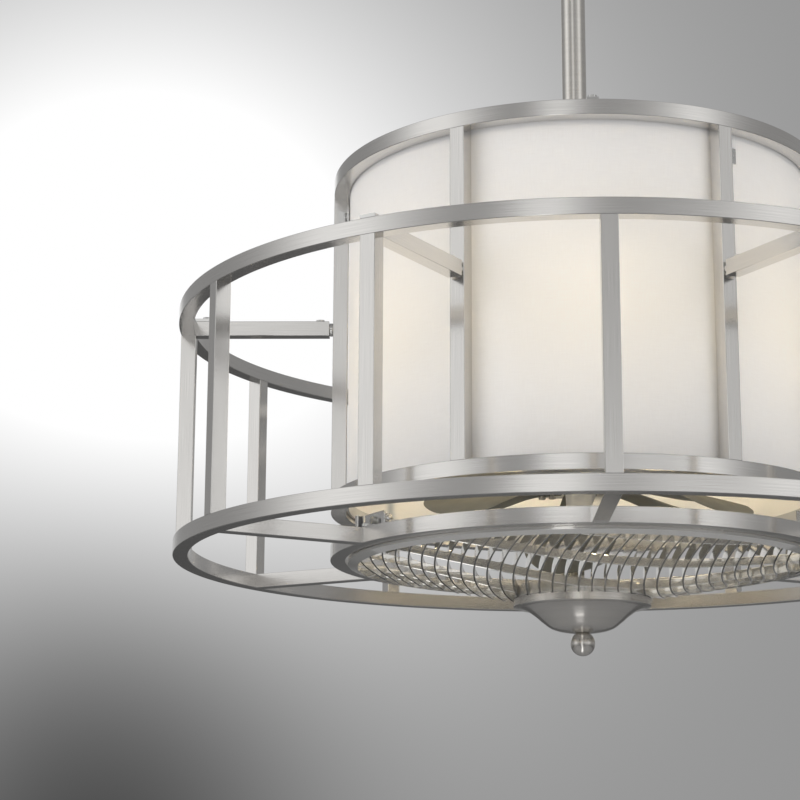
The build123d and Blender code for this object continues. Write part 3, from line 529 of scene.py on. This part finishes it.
# %% Round the axis
def geometry_tree(name, sockets):
    """A tree with its inputs' identifiers by name, and the sockets that they feed."""
    tree = bpy.data.node_groups.new(name, "GeometryNodeTree")
    face = tree.interface
    for way in ("OUTPUT", "INPUT"):
        face.new_socket("Geometry", in_out=way, socket_type="NodeSocketGeometry")
    known = {key: face.new_socket(key, in_out="INPUT", socket_type="NodeSocket" + kind).identifier
             for key, kind in sockets.items()}
    return tree, known, add_node(tree, "NodeGroupInput")


def real_copies(tree, points, piece, **turn):
    """The piece instanced on the points and made real."""
    copies = add_node(tree, "GeometryNodeInstanceOnPoints", {"Points": points, "Instance": piece, **turn})
    return add_node(tree, "GeometryNodeRealizeInstances", {"Geometry": copies["Instances"]})["Geometry"]


def end_tree(tree, geometry, material):
    painted = add_node(tree, "GeometryNodeSetMaterial", {"Geometry": geometry, "Material": material})
    add_node(tree, "NodeGroupOutput", {"Geometry": painted["Geometry"]})


def circle_tree(name, material):
    tree, known, source = geometry_tree(name, {"Count": "Int", "First angle": "Float", "Step angle": "Float"})
    points = add_node(tree, "GeometryNodePoints", {"Count": source["Count"]})["Points"]
    index = add_node(tree, "GeometryNodeInputIndex")["Index"]
    turn = maths(tree, "MULTIPLY_ADD", index, source["Step angle"], source["First angle"])
    copies = real_copies(tree, points, source["Geometry"], Rotation=vector_of(tree, Z=turn))
    end_tree(tree, copies, material)
    return tree, known


def grown_mesh(name, mesh, tree, values):
    """The plain mesh that a tree grows from a mesh."""
    holder = bpy.data.objects.new(name + "_source", mesh)
    scene.collection.objects.link(holder)
    modifier = holder.modifiers.new("grow", "NODES")
    modifier.node_group = tree
    for identifier, value in values.items():
        modifier[identifier] = value
    bpy.context.view_layer.update()
    ready = holder.evaluated_get(bpy.context.evaluated_depsgraph_get())
    result = bpy.data.meshes.new_from_object(ready)
    holder.modifiers.clear()
    bpy.data.objects.remove(holder)
    result.name = name
    return result


def around_axis(mesh, name, count, first, step, material):
    """One piece, made for azimuth zero, copied round the axis into a plain mesh."""
    tree, known = circle_tree(name + "_tree", material)
    return grown_mesh(name, mesh, tree, dict(zip(known.values(), (count, radians(first), radians(step)))))


def equal_step(count):
    return 360 / count


# %% [markdown]
# ## Posts and arms
# Twelve outer posts and six inner posts stand between the rings. Top arms run from the
# outer ring to the inner posts, and bottom arms from the outer ring to the grille ring.

# %% Posts
x_side = Vector((1, 0, 0))


def front_bar(name, start, end):
    """A bar of the cage at azimuth zero, between two points of radius and height."""
    ends = [Vector((0, -radius, height)) for radius, height in (start, end)]
    return bar_mesh(name, *ends, x_side, bar, bar)


def keep_bars(name, start, end, count, first, node):
    """A bar copied round the axis at equal steps and kept for one node of the model."""
    copies = around_axis(front_bar(name + "_one", start, end), name, count, first, equal_step(count), nickel)
    keep(copies, name, "fixture", "brushed_nickel", nickel, node)


keep_bars("outer_post_bars", (outer_middle, outer_high.z), (outer_middle, cage_top - bar),
          outer_post_count, first_azimuth, "outer_posts")
one_inner = front_bar("inner_post_one", (inner_middle, inner_high.z), (inner_middle, drum_top - bar))
for index in range(inner_post_count):
    name = f"inner_post_bar_{index + 1}"
    mesh = around_axis(one_inner, name, 1, inner_first + index * equal_step(inner_post_count), 0, nickel)
    keep(mesh, name, "fixture", "brushed_nickel", nickel, f"inner_post_{index + 1}")

# %% Arms
spacer_length = 4.2 * MM
end_plate = 1.5 * MM
arm_overlap = 0.3 * MM
top_arm_z = cage_top - bar / 2
bottom_arm_z = cage_low + bar / 2
arm_far = outer_radius - bar + arm_overlap
keep_bars("top_arm_bars", (inner_radius + spacer_length, top_arm_z), (arm_far, top_arm_z),
          inner_post_count, inner_first, "top_arms")
keep_bars("bottom_arm_bars", (inner_radius + end_plate, bottom_arm_z), (arm_far, bottom_arm_z),
          inner_post_count, first_azimuth, "bottom_arms")

# %% [markdown]
# ## Turned pieces
# The rod, the cap and the ball are turned on the axis. Each is an outline of radius and
# height spun round Z, closed at the axis or back onto itself for a hollow one.

# %% Lathe
on_axis = 0.001 * MM


def lathe_mesh(name, outline, steps, closed=False):
    lathe = bmesh.new()
    rows = []
    for radius, height in outline:
        if radius < on_axis:
            rows.append([lathe.verts.new((0, 0, height))])
        else:
            rows.append([lathe.verts.new(polar(radius, 360 * step / steps, height)) for step in range(steps)])
    pairs = list(zip(rows, rows[1:]))
    if closed:
        pairs.append((rows[-1], rows[0]))
    for here, ahead in pairs:
        for step in range(steps):
            beside = (step + 1) % steps
            corners = [here[step % len(here)], here[beside % len(here)],
                       ahead[beside % len(ahead)], ahead[step % len(ahead)]]
            unique = list(dict.fromkeys(corners))
            if len(unique) > 2:
                lathe.faces.new(unique)
    return mesh_of(lathe, name)


def arc_points(height, radius, start, end, steps):
    """An arc round a middle on the axis, as points of radius and height."""
    angles = [radians(start + (end - start) * step / steps) for step in range(steps + 1)]
    return [(radius * cos(angle), height + radius * sin(angle)) for angle in angles]


# %% Rod
rod_low, rod_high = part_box("downrod")
rod_radius = rod_high.x
rod_bore = rod_radius - 2.5 * MM
edge = 0.6 * MM
rod_outline = [(rod_bore, rod_low.z), (rod_radius - edge, rod_low.z), (rod_radius, rod_low.z + edge),
               (rod_radius, rod_high.z - edge), (rod_radius - edge, rod_high.z), (rod_bore, rod_high.z)]
keep(lathe_mesh("downrod_tube", rod_outline, 96, closed=True), "downrod_tube", "fixture",
     "satin_nickel", spun, "downrod")

# %% [markdown]
# ## Centre cap and ball
# The cap is a spun dish: an upright band, a narrow brim that falls a little, then an S
# shaped bowl, hollow near the brim and round below. Its outline goes through a dozen
# points of radius and drop that were measured along the cap's edge, and a smooth curve
# through them keeps the reflections clean. A ball finial screws up under it.

# %% Cap and ball
cap_low, cap_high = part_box("centre_cap")
cap_radius = cap_high.x
cap_wall = 1.2 * MM
cap_edge = 0.5 * MM
band_low = cap_high.z - 8.2 * MM
inner_rows_left = 4
bowl_points = [(70.6, 0.1), (67.5, 0.6), (64.0, 1.3), (57.0, 4.2), (51.6, 8.0), (47.0, 11.8), (43.6, 15.0),
               (39.0, 18.8), (35.6, 21.5), (31.3, 23.9), (24.0, 26.2), (13.0, 28.0), (5.15, 28.4)]
stud_radius, bowl_drop = bowl_points[-1]


def smooth_points(points, steps=5):
    """A smooth curve through every one of the points."""
    rows = [points[0]] + points + [points[-1]]
    curve = []
    for index in range(1, len(rows) - 2):
        before, here, ahead, beyond = (Vector(row) for row in rows[index - 1:index + 3])
        for step in range(steps):
            t = step / steps
            curve.append(0.5 * (2 * here + (ahead - before) * t
                                + (2 * before - 5 * here + 4 * ahead - beyond) * t ** 2
                                + (3 * here - before - 3 * ahead + beyond) * t ** 3))
    return [tuple(point) for point in curve] + [points[-1]]


bowl_depth = band_low - cap_low.z
bowl_curve = [(radius * MM, band_low - drop / bowl_drop * bowl_depth)
              for radius, drop in smooth_points(bowl_points)]
cap_outline = [(cap_radius - cap_wall, cap_high.z), (cap_radius - cap_edge, cap_high.z),
               (cap_radius, cap_high.z - cap_edge), (cap_radius, band_low + cap_edge)]
cap_outline += bowl_curve
cap_outline += [(stud_radius * MM, cap_low.z + cap_wall)]
cap_outline += [(radius - cap_wall / 3, height + cap_wall)
                for radius, height in reversed(bowl_curve[:-inner_rows_left])]
keep(lathe_mesh("centre_cap_dish", cap_outline, 160, closed=True), "centre_cap_dish", "fixture",
     "satin_nickel", spun, "centre_cap")

ball_low, ball_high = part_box("ball_finial")
ball_radius = ball_high.x
ball_centre = ball_low.z + ball_radius
neck_radius = 6.5 * MM
neck_angle = 58
ball_outline = [(0, ball_high.z), (neck_radius, ball_high.z)]
ball_outline += arc_points(ball_centre, ball_radius, neck_angle, -90, 40)
ball_outline[-1] = (0, ball_low.z)
keep(lathe_mesh("ball_finial_ball", ball_outline, 96), "ball_finial_ball", "fixture",
     "satin_nickel", spun, "ball_finial")

# %% [markdown]
# ## The shade's cloth
# The linen is one strip bent into a drum and lapped at a seam, stretched between two
# hoops. The mesh is a thin closed shell with its edges turned over, a UV map in metres
# of cloth, and a slightly thicker lap along the seam.

# %% Shade
cloth_low, cloth_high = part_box("shade_fabric")
shade_radius = cloth_high.x
cloth_thickness = 0.9 * MM
lap_width = 12.0 * MM
lap_rise = 0.25 * MM
hem_height = 7.0 * MM
hem_rise = 0.25 * MM
hem_above, hem_below = hem_height * 1.02, hem_height * 0.98


def cloth_rise(azimuth, height):
    along = radians((azimuth - seam_azimuth + 180) % 360 - 180) * shade_radius
    lap = lap_rise if abs(along) < lap_width / 2 else 0.0
    hem = hem_rise if min(height - cloth_low.z, cloth_high.z - height) < hem_height else 0.0
    return lap + hem


def shade_mesh(steps=360):
    outer = shade_radius - lap_rise - hem_rise
    inner = outer - cloth_thickness
    low, high = cloth_low.z, cloth_high.z
    levels = [low, low + hem_below, low + hem_above]
    levels += [low + (high - low) * share for share in (0.2, 0.4, 0.6, 0.8)]
    levels += [high - hem_above, high - hem_below, high]
    profile = [(outer, level, True) for level in levels] + [(inner, level, False) for level in reversed(levels)]
    sections = []
    for step in range(steps):
        azimuth = 360 * step / steps
        sections.append([polar(radius + (cloth_rise(azimuth, level) if outside else 0.0), azimuth, level)
                         for radius, level, outside in profile])
    lengths = [2 * pi * shade_radius * step / steps for step in range(steps + 1)]
    heights = [level for _, level, _ in profile + profile[:1]]
    return swept_mesh("shade_cloth", sections, lengths, heights, closed=True, uv_name="cloth")


shade = keep(shade_mesh(), "shade_cloth", "fixture", "shade_linen", linen_cloth, "shade_fabric")

# %% [markdown]
# ## The blades
# Each blade starts as a flat tab on the hub, turns to its pitch, widens, and dips in a
# soft curve to a round tip just above the grille. A row of sizes, in millimetres and
# degrees, is listed for each distance from the axis: the drop, the widths to the left and
# right, the pitch and the thickness. The sizes between lie on straight lines, and rounded
# sections are joined into one closed skin. The five copies turn with the rotor.

# %% Blade sizes
blade_tip = 228.0 * MM
blade_round_from = 178.0 * MM
blade_first = -30.0
blade_count = 5
tip_crowding = 1.6
tip_row_gap = 0.2
tip_roundness = 0.42
tip_narrowest = 0.02
edge_fullness = 0.7
tip_thinning = 0.3
blade_uv_step = 4.0 * MM
blade_rows = [(24, 0.0, 15, 15, 0, 6.0), (50, 0.5, 15, 15, 0, 6.0), (64, 4.0, 16, 16, -2, 4.6),
              (100, 15, 20, 20, -3, 4.0), (130, 23, 28, 26, -4, 3.4), (160, 28.5, 48, 34, -4, 3.2),
              (180, 32, 64, 44, -4, 3.0), (200, 37, 72, 49, -3, 2.8), (215, 45.7, 74, 51, -2, 2.7),
              (228, 56.7, 75, 52, -2, 2.6)]


def blade_at(distance):
    """The row of sizes at a distance within the listed ones."""
    for here, ahead in zip(blade_rows, blade_rows[1:]):
        if distance <= ahead[0]:
            share = (distance - here[0]) / (ahead[0] - here[0])
            return [low + (high - low) * share for low, high in zip(here, ahead)]


def blade_mesh(spans=48, around=28):
    sections = []
    first, last = blade_rows[0][0], blade_rows[-1][0]
    for span in range(spans + 1):
        share = span / spans
        distance = first + (last - first) * (1 - (1 - share) ** tip_crowding)
        drop, left, right, pitch, thickness = blade_at(min(distance, last - tip_row_gap))[1:]
        rounding = max(0.0, (distance * MM - blade_round_from) / (blade_tip - blade_round_from))
        narrow = max(tip_narrowest, 1 - rounding ** 2) ** tip_roundness
        width = (left + right) * narrow / 2
        shift = (right - left) * narrow / 2
        thinning = min(1.0, narrow + tip_thinning)
        section = []
        for step in range(around):
            angle = 2 * pi * step / around
            side, up = cos(angle), sin(angle)
            lateral = shift + width * side
            lift = thickness / 2 * abs(up) ** edge_fullness * (1 if up > 0 else -1) * thinning
            height = -drop + lateral * sin(radians(pitch)) + lift
            section.append(Vector((lateral * MM, -distance * MM, blade_tab_middle + height * MM)))
        sections.append(section)
    lengths = [(last - first) * MM * span / spans for span in range(spans + 1)]
    return swept_mesh("blade_one", sections, lengths, [blade_uv_step * step for step in range(around + 1)])


# %% Blades
blade_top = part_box("blade_1")[1].z
blade_tab_middle = blade_top - blade_rows[0][5] / 2 * MM
one_blade = blade_mesh()
for index in range(blade_count):
    name = f"blade_skin_{index + 1}"
    mesh = around_axis(one_blade, name, 1, blade_first + index * equal_step(blade_count), 0, blade_grey)
    keep(mesh, name, "rotor", "blade_plastic", blade_grey, f"blade_{index + 1}")
print("blade top", round(blade_top, 4))

# %% [markdown]
# ## The grille
# Under the blades lies a chrome moulding: a rim, thirty-five thin fins that run from
# front to back in a slack S, seven ribs across them, and a hub. Fins and ribs are the
# same thing: one line in plan, copied at equal steps, cut to the ring between hub and
# rim, laid on a shallow cone and given a section. One tree does both. Its inputs are the
# count, the first copy's place, the step, the two radii and heights, the spacing of the
# line's points and the section. The ribs' lower edges lie a little above the fins'.

# %% Grille sizes
fin_low, fin_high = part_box("grille_fins")
hub_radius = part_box("grille_hub")[1].x
fin_outer = fin_high.x
fin_depth = 13.0 * MM
fin_thickness = 1.8 * MM
fin_count = 35
fin_pitch = 13.3 * MM
fin_shift = 3.1 * MM
fin_bow = 441.0 * MM
fin_bow_offset = 75.7 * MM
rib_count = 7
rib_pitch = 70.0 * MM
rib_first = 207.0 * MM
rib_azimuth = 25.0
rib_bow = 860.0 * MM
rib_recess = 4.0 * MM
rib_overreach = 1.12
line_step = 6.0 * MM
strip_rounding = 0.35
underside_gain, underside_from = 2.0, 0.7
print("grille", round(fin_outer, 4), round(hub_radius, 4), fin_count, "fins", rib_count, "ribs")


# %% Plan lines
def line_mesh(name, points):
    mesh = bpy.data.meshes.new(name)
    mesh.from_pydata(points, [(index, index + 1) for index in range(len(points) - 1)], [])
    return mesh


def fin_line():
    """The front half of a fin bows to one side, and the back half is its point reflection."""
    turn = asin(fin_bow_offset / fin_bow)
    reach = asin((fin_outer + line_step - fin_bow_offset) / fin_bow)
    steps = round((turn + reach) * fin_bow / line_step)
    front = []
    for step in range(steps + 1):
        angle = -turn + (turn + reach) * step / steps
        front.append(Vector((fin_bow * (cos(turn) - cos(angle)), -fin_bow_offset - fin_bow * sin(angle), 0)))
    back = [-point for point in reversed(front[1:])]
    return back + front


def rib_line():
    reach = degrees(asin((fin_outer + line_step) / rib_bow)) * rib_overreach
    steps = round(radians(2 * reach) * rib_bow / line_step)
    centre = polar(-rib_bow, rib_azimuth)
    return [centre + polar(rib_bow, rib_azimuth - reach + 2 * reach * step / steps) for step in range(steps + 1)]


# %% Lattice tree
def lattice_tree(material):
    floats = ("Inner radius", "Outer radius", "Inner height", "Outer height", "Spacing", "Thickness", "Depth")
    sockets = {"Count": "Int", "First": "Vector", "Step": "Vector", **dict.fromkeys(floats, "Float")}
    tree, known, source = geometry_tree("grille_lattice", sockets)
    inner, outer, spacing = source["Inner radius"], source["Outer radius"], source["Spacing"]
    points = add_node(tree, "GeometryNodeMeshLine",
                      {"Count": source["Count"], "Start Location": source["First"], "Offset": source["Step"]},
                      mode="OFFSET")["Mesh"]
    copies = real_copies(tree, points, source["Geometry"])

    position = add_node(tree, "GeometryNodeInputPosition")["Position"]
    radius = length_of(tree, position)
    near = maths(tree, "LESS_THAN", radius, maths(tree, "SUBTRACT", inner, spacing))
    far = maths(tree, "GREATER_THAN", radius, maths(tree, "ADD", outer, spacing))
    cut = add_node(tree, "GeometryNodeDeleteGeometry",
                   {"Geometry": copies, "Selection": maths(tree, "MAXIMUM", near, far)}, domain="POINT")["Geometry"]

    held = maths(tree, "MINIMUM", outer, maths(tree, "MAXIMUM", inner, radius))
    ends_held = add_node(tree, "ShaderNodeVectorMath",
                         {"Vector": position, "Scale": maths(tree, "DIVIDE", held, radius)},
                         operation="SCALE")["Vector"]
    cone = add_node(tree, "ShaderNodeMapRange",
                    {"Value": held, "From Min": inner, "From Max": outer,
                     "To Min": source["Inner height"], "To Max": source["Outer height"]})["Result"]
    laid = add_node(tree, "GeometryNodeSetPosition",
                    {"Geometry": cut, "Position": ends_held, "Offset": vector_of(tree, Z=cone)})["Geometry"]
    lines = add_node(tree, "GeometryNodeMeshToCurve", {"Mesh": laid})["Curve"]
    upright_lines = add_node(tree, "GeometryNodeSetCurveNormal", {"Curve": lines}, mode="Z_UP")["Curve"]

    section = add_node(tree, "GeometryNodeCurvePrimitiveQuadrilateral",
                       {"Width": source["Thickness"], "Height": source["Depth"]})["Curve"]
    rounding = maths(tree, "MULTIPLY", source["Thickness"], strip_rounding)
    rounded = add_node(tree, "GeometryNodeFilletCurve", {"Curve": section, "Radius": rounding}, mode="POLY")["Curve"]
    lift = vector_of(tree, Y=maths(tree, "MULTIPLY", source["Depth"], -0.5))
    raised = add_node(tree, "GeometryNodeTransform", {"Geometry": rounded, "Translation": lift})["Geometry"]
    strips = add_node(tree, "GeometryNodeCurveToMesh",
                      {"Curve": upright_lines, "Profile Curve": raised, "Fill Caps": True})["Mesh"]
    end_tree(tree, strips, material)
    return tree, known


# %% Fins and ribs
lattice, lattice_inputs = lattice_tree(chrome)


def lattice_mesh(name, points, count, first, step, recess=0.0):
    values = {"Count": count, "First": first, "Step": step, "Inner radius": hub_radius, "Outer radius": fin_outer,
              "Inner height": fin_low.z + recess, "Outer height": fin_high.z - fin_depth + recess,
              "Spacing": line_step, "Thickness": fin_thickness, "Depth": fin_depth - recess}
    mesh = grown_mesh(name, line_mesh(name + "_line", points), lattice,
                      {lattice_inputs[key]: value for key, value in values.items()})
    heights = [vertex.co.z for vertex in mesh.vertices]
    print(name, "z", round(min(heights), 4), round(max(heights), 4))
    return mesh


fin_first = Vector((fin_shift - fin_pitch * (fin_count - 1) / 2, 0, 0))
fin_parts = lattice_mesh("fins", fin_line(), fin_count, fin_first, Vector((fin_pitch, 0, 0)))
rib_parts = lattice_mesh("ribs", rib_line(), rib_count, polar(rib_first, rib_azimuth),
                         polar(-rib_pitch, rib_azimuth), rib_recess)
grille_mesh = joined_mesh("grille_lattice", fin_parts, rib_parts)
# Painted shade: each fin face gets a share of darkening by how far it faces down, for the chrome's colour.
painted_shade_share = grille_mesh.attributes.new("painted_underside_shade", "FLOAT", "FACE")
for face in grille_mesh.polygons[:len(fin_parts.polygons)]:
    painted_shade_share.data[face.index].value = min(1.0, max(0.0, -face.normal.z * underside_gain - underside_from))
keep(grille_mesh, "grille_lattice", "fixture", "chrome_plated_plastic", chrome, "grille_fins")

# %% [markdown]
# ## Clips and star nuts at the grille brackets
# Each grille bracket ends in a short bent tab with a toothed nut, and a small open clip
# stands beside it on the ring. The clip's back gets the dark iron finish as painted shade
# for the shaded inside of the clip. All are made for azimuth zero and copied to the three brackets.

# %% Clips and star nuts
bracket_count = 3
bracket_azimuth = first_azimuth - equal_step(inner_post_count)
ring_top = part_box("grille_ring")[1].z
clip_turn, clip_radius = -1.7, 262.5 * MM
clip_width, clip_depth, clip_height, clip_sheet = 6.0 * MM, 7.0 * MM, 14.0 * MM, 1.2 * MM
nut_turn, nut_face, nut_height = 6.2, 250.2 * MM, 7.6 * MM
nut_teeth = 10
nut_uv_step = 1.0 * MM
nut_rows = [(0.0, 5.0, 0.8), (0.4, 5.2, 0.8), (2.0, 5.2, 0.8), (2.4, 4.9, 0.8),
            (2.4, 3.4, 1.0), (3.4, 3.2, 1.0), (4.1, 2.4, 1.0), (4.3, 0.9, 1.0)]
tab_sheet, tab_height, tab_length = 1.4 * MM, 10.0 * MM, 12.0 * MM


def upright(name, across, radius, width, depth):
    """A small upright sheet on the ring: across is its shift along the ring."""
    foot = Vector((across, -radius, ring_top))
    return bar_mesh(name, foot, foot + Vector((0, 0, clip_height)), x_side, width, depth)


def star_nut():
    """Rows of offset, radius and the dip between teeth; a tooth takes four steps."""
    steps = 4 * nut_teeth
    height = ring_top + nut_height
    sections = []
    for offset, radius, dip in nut_rows:
        section = []
        for step in range(steps):
            angle = 2 * pi * step / steps
            reach = radius * MM * (1 if step % 4 < 2 else dip)
            section.append(Vector((offset * MM, reach * cos(angle) - nut_face, height + reach * sin(angle))))
        sections.append(section)
    lengths = [offset * MM for offset, _, _ in nut_rows]
    return swept_mesh("star_nut", sections, lengths, [nut_uv_step * step for step in range(steps + 1)])


wall_shift = (clip_depth - clip_sheet) / 2
clip_walls = joined_mesh("clip_walls", upright("clip_inner", 0, clip_radius - wall_shift, clip_width, clip_sheet),
                         upright("clip_outer", 0, clip_radius + wall_shift, clip_width, clip_sheet))
# Painted shade: the clip's back is made dark iron to stand for the shaded inside of the clip.
painted_shade_clip_back = upright("painted_shade_clip_back", (clip_sheet - clip_width) / 2, clip_radius, clip_sheet, clip_depth - clip_sheet)
z_side = Vector((0, 0, 1))
tab_middle = Vector((0, -nut_face + tab_sheet / 2, ring_top + nut_height))
tab_rise = z_side * (tab_height / 2)
seat_middle = tab_middle - x_side * tab_sheet / 2
tab = joined_mesh("tab", bar_mesh("nut_tab", tab_middle - x_side * tab_length, tab_middle - x_side * tab_sheet,
                                  z_side, tab_height, tab_sheet),
                  bar_mesh("nut_seat", seat_middle - tab_rise, seat_middle + tab_rise,
                           x_side, tab_sheet, tab_height))
for mesh, name, turn, slot, finish in ((clip_walls, "bracket_clips", clip_turn, "bright_steel", bright),
                                       (painted_shade_clip_back, "bracket_clip_backs", clip_turn, "motor_iron", iron),
                                       (tab, "bracket_tabs", nut_turn, "bright_steel", bright),
                                       (star_nut(), "bracket_star_nuts", nut_turn, "bright_steel", bright)):
    copies = around_axis(mesh, name, bracket_count, bracket_azimuth + turn, equal_step(bracket_count), finish)
    keep(copies, name, "fixture", slot, finish)

# %% [markdown]
# ## Finishes for the model's own pieces
# The other pieces keep the model's own solids and only get a real finish.

# %% Repaint the nodes
def repaint(material, *nodes):
    for node in nodes:
        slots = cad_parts[node].data.materials
        for index in range(len(slots)):
            slots[index] = material


repaint(spun, "canopy", "hang_ball", "rod_coupling")
repaint(zinc, "canopy_screws", "rod_pins", "coupling_set_screws", "spider_screws", "flange_screws",
        "lug_screws", "shade_screws", "motor_screws", "blade_screws", "grille_screws", "finial_stud")
repaint(zinc_sheet, "hanger_bracket", "shade_hoops")
repaint(bright, "arm_spacers", "arm_end_plates", "grille_brackets", "lug_plates", "shade_brackets", "top_spider")
repaint(enamel, "motor_housing_top", "motor_housing_bottom", "motor_stem", "lamp_plate")
repaint(iron, "motor_stator", "motor_rotor")
repaint(ground, "motor_bearings", "motor_shaft")
repaint(hub_satin, "blade_hub")
repaint(holder_white, "lampholders")
repaint(bulb_white, "bulbs")
repaint(chrome, "grille_rim", "grille_hub")
print("nodes repainted")

# %% [markdown]
# ## Backdrop, floor and light
# The photograph has a soft studio backdrop: a white pool at the left, grey at the top
# right and darker in the lower left corner. Two soft bells over directions make that
# gradient in the world, where camera, glossy and transmission rays see it, so the metal
# reflects the same studio. Four more pools stand in for the soft boxes round the camera,
# left, front and right, whose broad reflections run along the rings. Diffuse light comes
# from a plain level and large soft lamps, so that colours render about as written.

# %% World
picture_pixels = 800
focal_pixels = lens_mm / sensor_mm * picture_pixels
axis_right, axis_up, axis_back = camera_turn(camera_yaw, camera_pitch, camera_roll).transposed()
backdrop_grey = 0.575
picture_pools = [(0.592, (140, 295), (394, 356)), (-0.324, (100, 820), (215, 321))]
side_pools = [(0.46, (-67, 16), (26, 34)), (0.52, (-7.5, 9), (12, 20)), (0.40, (57, 16), (20, 32)),
              (0.40, (25, 5), (17, 9))]
low_share = 0.60
low_from, low_to = -9.0, -1.0
least_ahead = 0.05
display_gamma = 2.2
plain_tone, plain_strength = (0.75, 0.75, 0.76, 1), 0.65


def studio_world():
    world = bpy.data.worlds.new("studio")
    scene.world = world
    world.use_nodes = True
    tree = world.node_tree
    tree.nodes.clear()
    direction = add_node(tree, "ShaderNodeTexCoord")["Generated"]
    right, up, ahead = [add_node(tree, "ShaderNodeVectorMath", {0: direction, 1: axis},
                                 operation="DOT_PRODUCT")["Value"] for axis in (axis_right, axis_up, -axis_back)]
    ahead = maths(tree, "MAXIMUM", ahead, least_ahead)
    half = picture_pixels / 2
    across = maths(tree, "MULTIPLY_ADD", maths(tree, "DIVIDE", right, ahead), focal_pixels, half)
    down = maths(tree, "MULTIPLY_ADD", maths(tree, "DIVIDE", up, ahead), -focal_pixels, half)
    parts = parts_of(tree, direction)
    azimuth = maths(tree, "MULTIPLY", azimuth_of(tree, parts), degrees(1))
    rise = maths(tree, "MULTIPLY", maths(tree, "ARCSINE", parts["Z"]), degrees(1))
    level = backdrop_grey
    for places, pools in (((across, down), picture_pools), ((azimuth, rise), side_pools)):
        for size, middles, widths in pools:
            level = maths(tree, "ADD", bell(tree, size, *zip(places, middles, widths)), level)
    lower = add_node(tree, "ShaderNodeMapRange",
                     {"Value": rise, "From Min": low_from, "From Max": low_to, "To Min": low_share},
                     interpolation_type="SMOOTHSTEP")["Result"]
    level = maths(tree, "MINIMUM", maths(tree, "MULTIPLY", level, lower), 1.0)
    level = maths(tree, "POWER", level, display_gamma)
    tone = add_node(tree, "ShaderNodeCombineColor", {"Red": level, "Green": level, "Blue": level})["Color"]
    seen = add_node(tree, "ShaderNodeBackground", {"Color": tone})["Background"]
    plain = add_node(tree, "ShaderNodeBackground", {"Color": plain_tone, "Strength": plain_strength})["Background"]
    rays = add_node(tree, "ShaderNodeLightPath")
    direct = maths(tree, "MAXIMUM", rays["Is Camera Ray"], rays["Is Glossy Ray"])
    direct = maths(tree, "MAXIMUM", direct, rays["Is Transmission Ray"])
    mix = add_node(tree, "ShaderNodeMixShader", {"Fac": direct, 1: plain, 2: seen})["Shader"]
    add_node(tree, "ShaderNodeOutputWorld", {"Surface": mix})
    return world


print(studio_world().name)

# %% Lamps
lamp_target = Vector((0, 0, -0.6))


def soft_lamp(name, place, width, height, glow, mirrored=False):
    """An area lamp whose own surface has the brightness called glow, where 1 is white."""
    data = bpy.data.lights.new(name, "AREA")
    data.shape = "RECTANGLE"
    data.size = width
    data.size_y = height
    data.energy = glow * pi * width * height
    lamp = bpy.data.objects.new(name, data)
    scene.collection.objects.link(lamp)
    lamp.visible_glossy = mirrored
    lamp.visible_camera = False
    lamp.location = place
    lamp.rotation_euler = (lamp_target - place).to_track_quat("-Z", "Y").to_euler()
    return lamp


soft_lamp("key", polar(3.2, -60, -0.35), 2.4, 2.2, 2.9)
soft_lamp("fill", polar(3.2, 50, -0.6), 2.0, 2.2, 2.5)
soft_lamp("front", polar(2.9, -8, -1.75), 0.5, 0.9, 1.6, mirrored=True)
soft_lamp("under", Vector((0.2, -0.6, -2.3)), 1.8, 1.4, 1.3)
strip = soft_lamp("floor_strip", Vector((-0.12, -1.1, -2.28)), 0.34, 2.0, 1.3, mirrored=True)
strip.rotation_euler = (pi, 0, 0)
print("five lamps")

# %% Floor
floor_z = -2.4
floor_half = 4.0
corners = ((-1, -1), (1, -1), (1, 1), (-1, 1))
floor_mesh = bpy.data.meshes.new("floor")
floor_mesh.from_pydata([(x * floor_half, y * floor_half, floor_z) for x, y in corners], [], [(0, 1, 2, 3)])
floor_finish, floor_tree, floor_shader = new_material("floor")
fill(floor_tree, floor_shader, {"Base Color": (0.36, 0.36, 0.36, 1), "Roughness": 0.8})
floor_mesh.materials.append(floor_finish)
floor = bpy.data.objects.new("floor", floor_mesh)
scene.collection.objects.link(floor)

# %% [markdown]
# ## Finish
# The view transform is Standard, so colours stay as written.

# %% Finish
scene.view_settings.view_transform = "Standard"
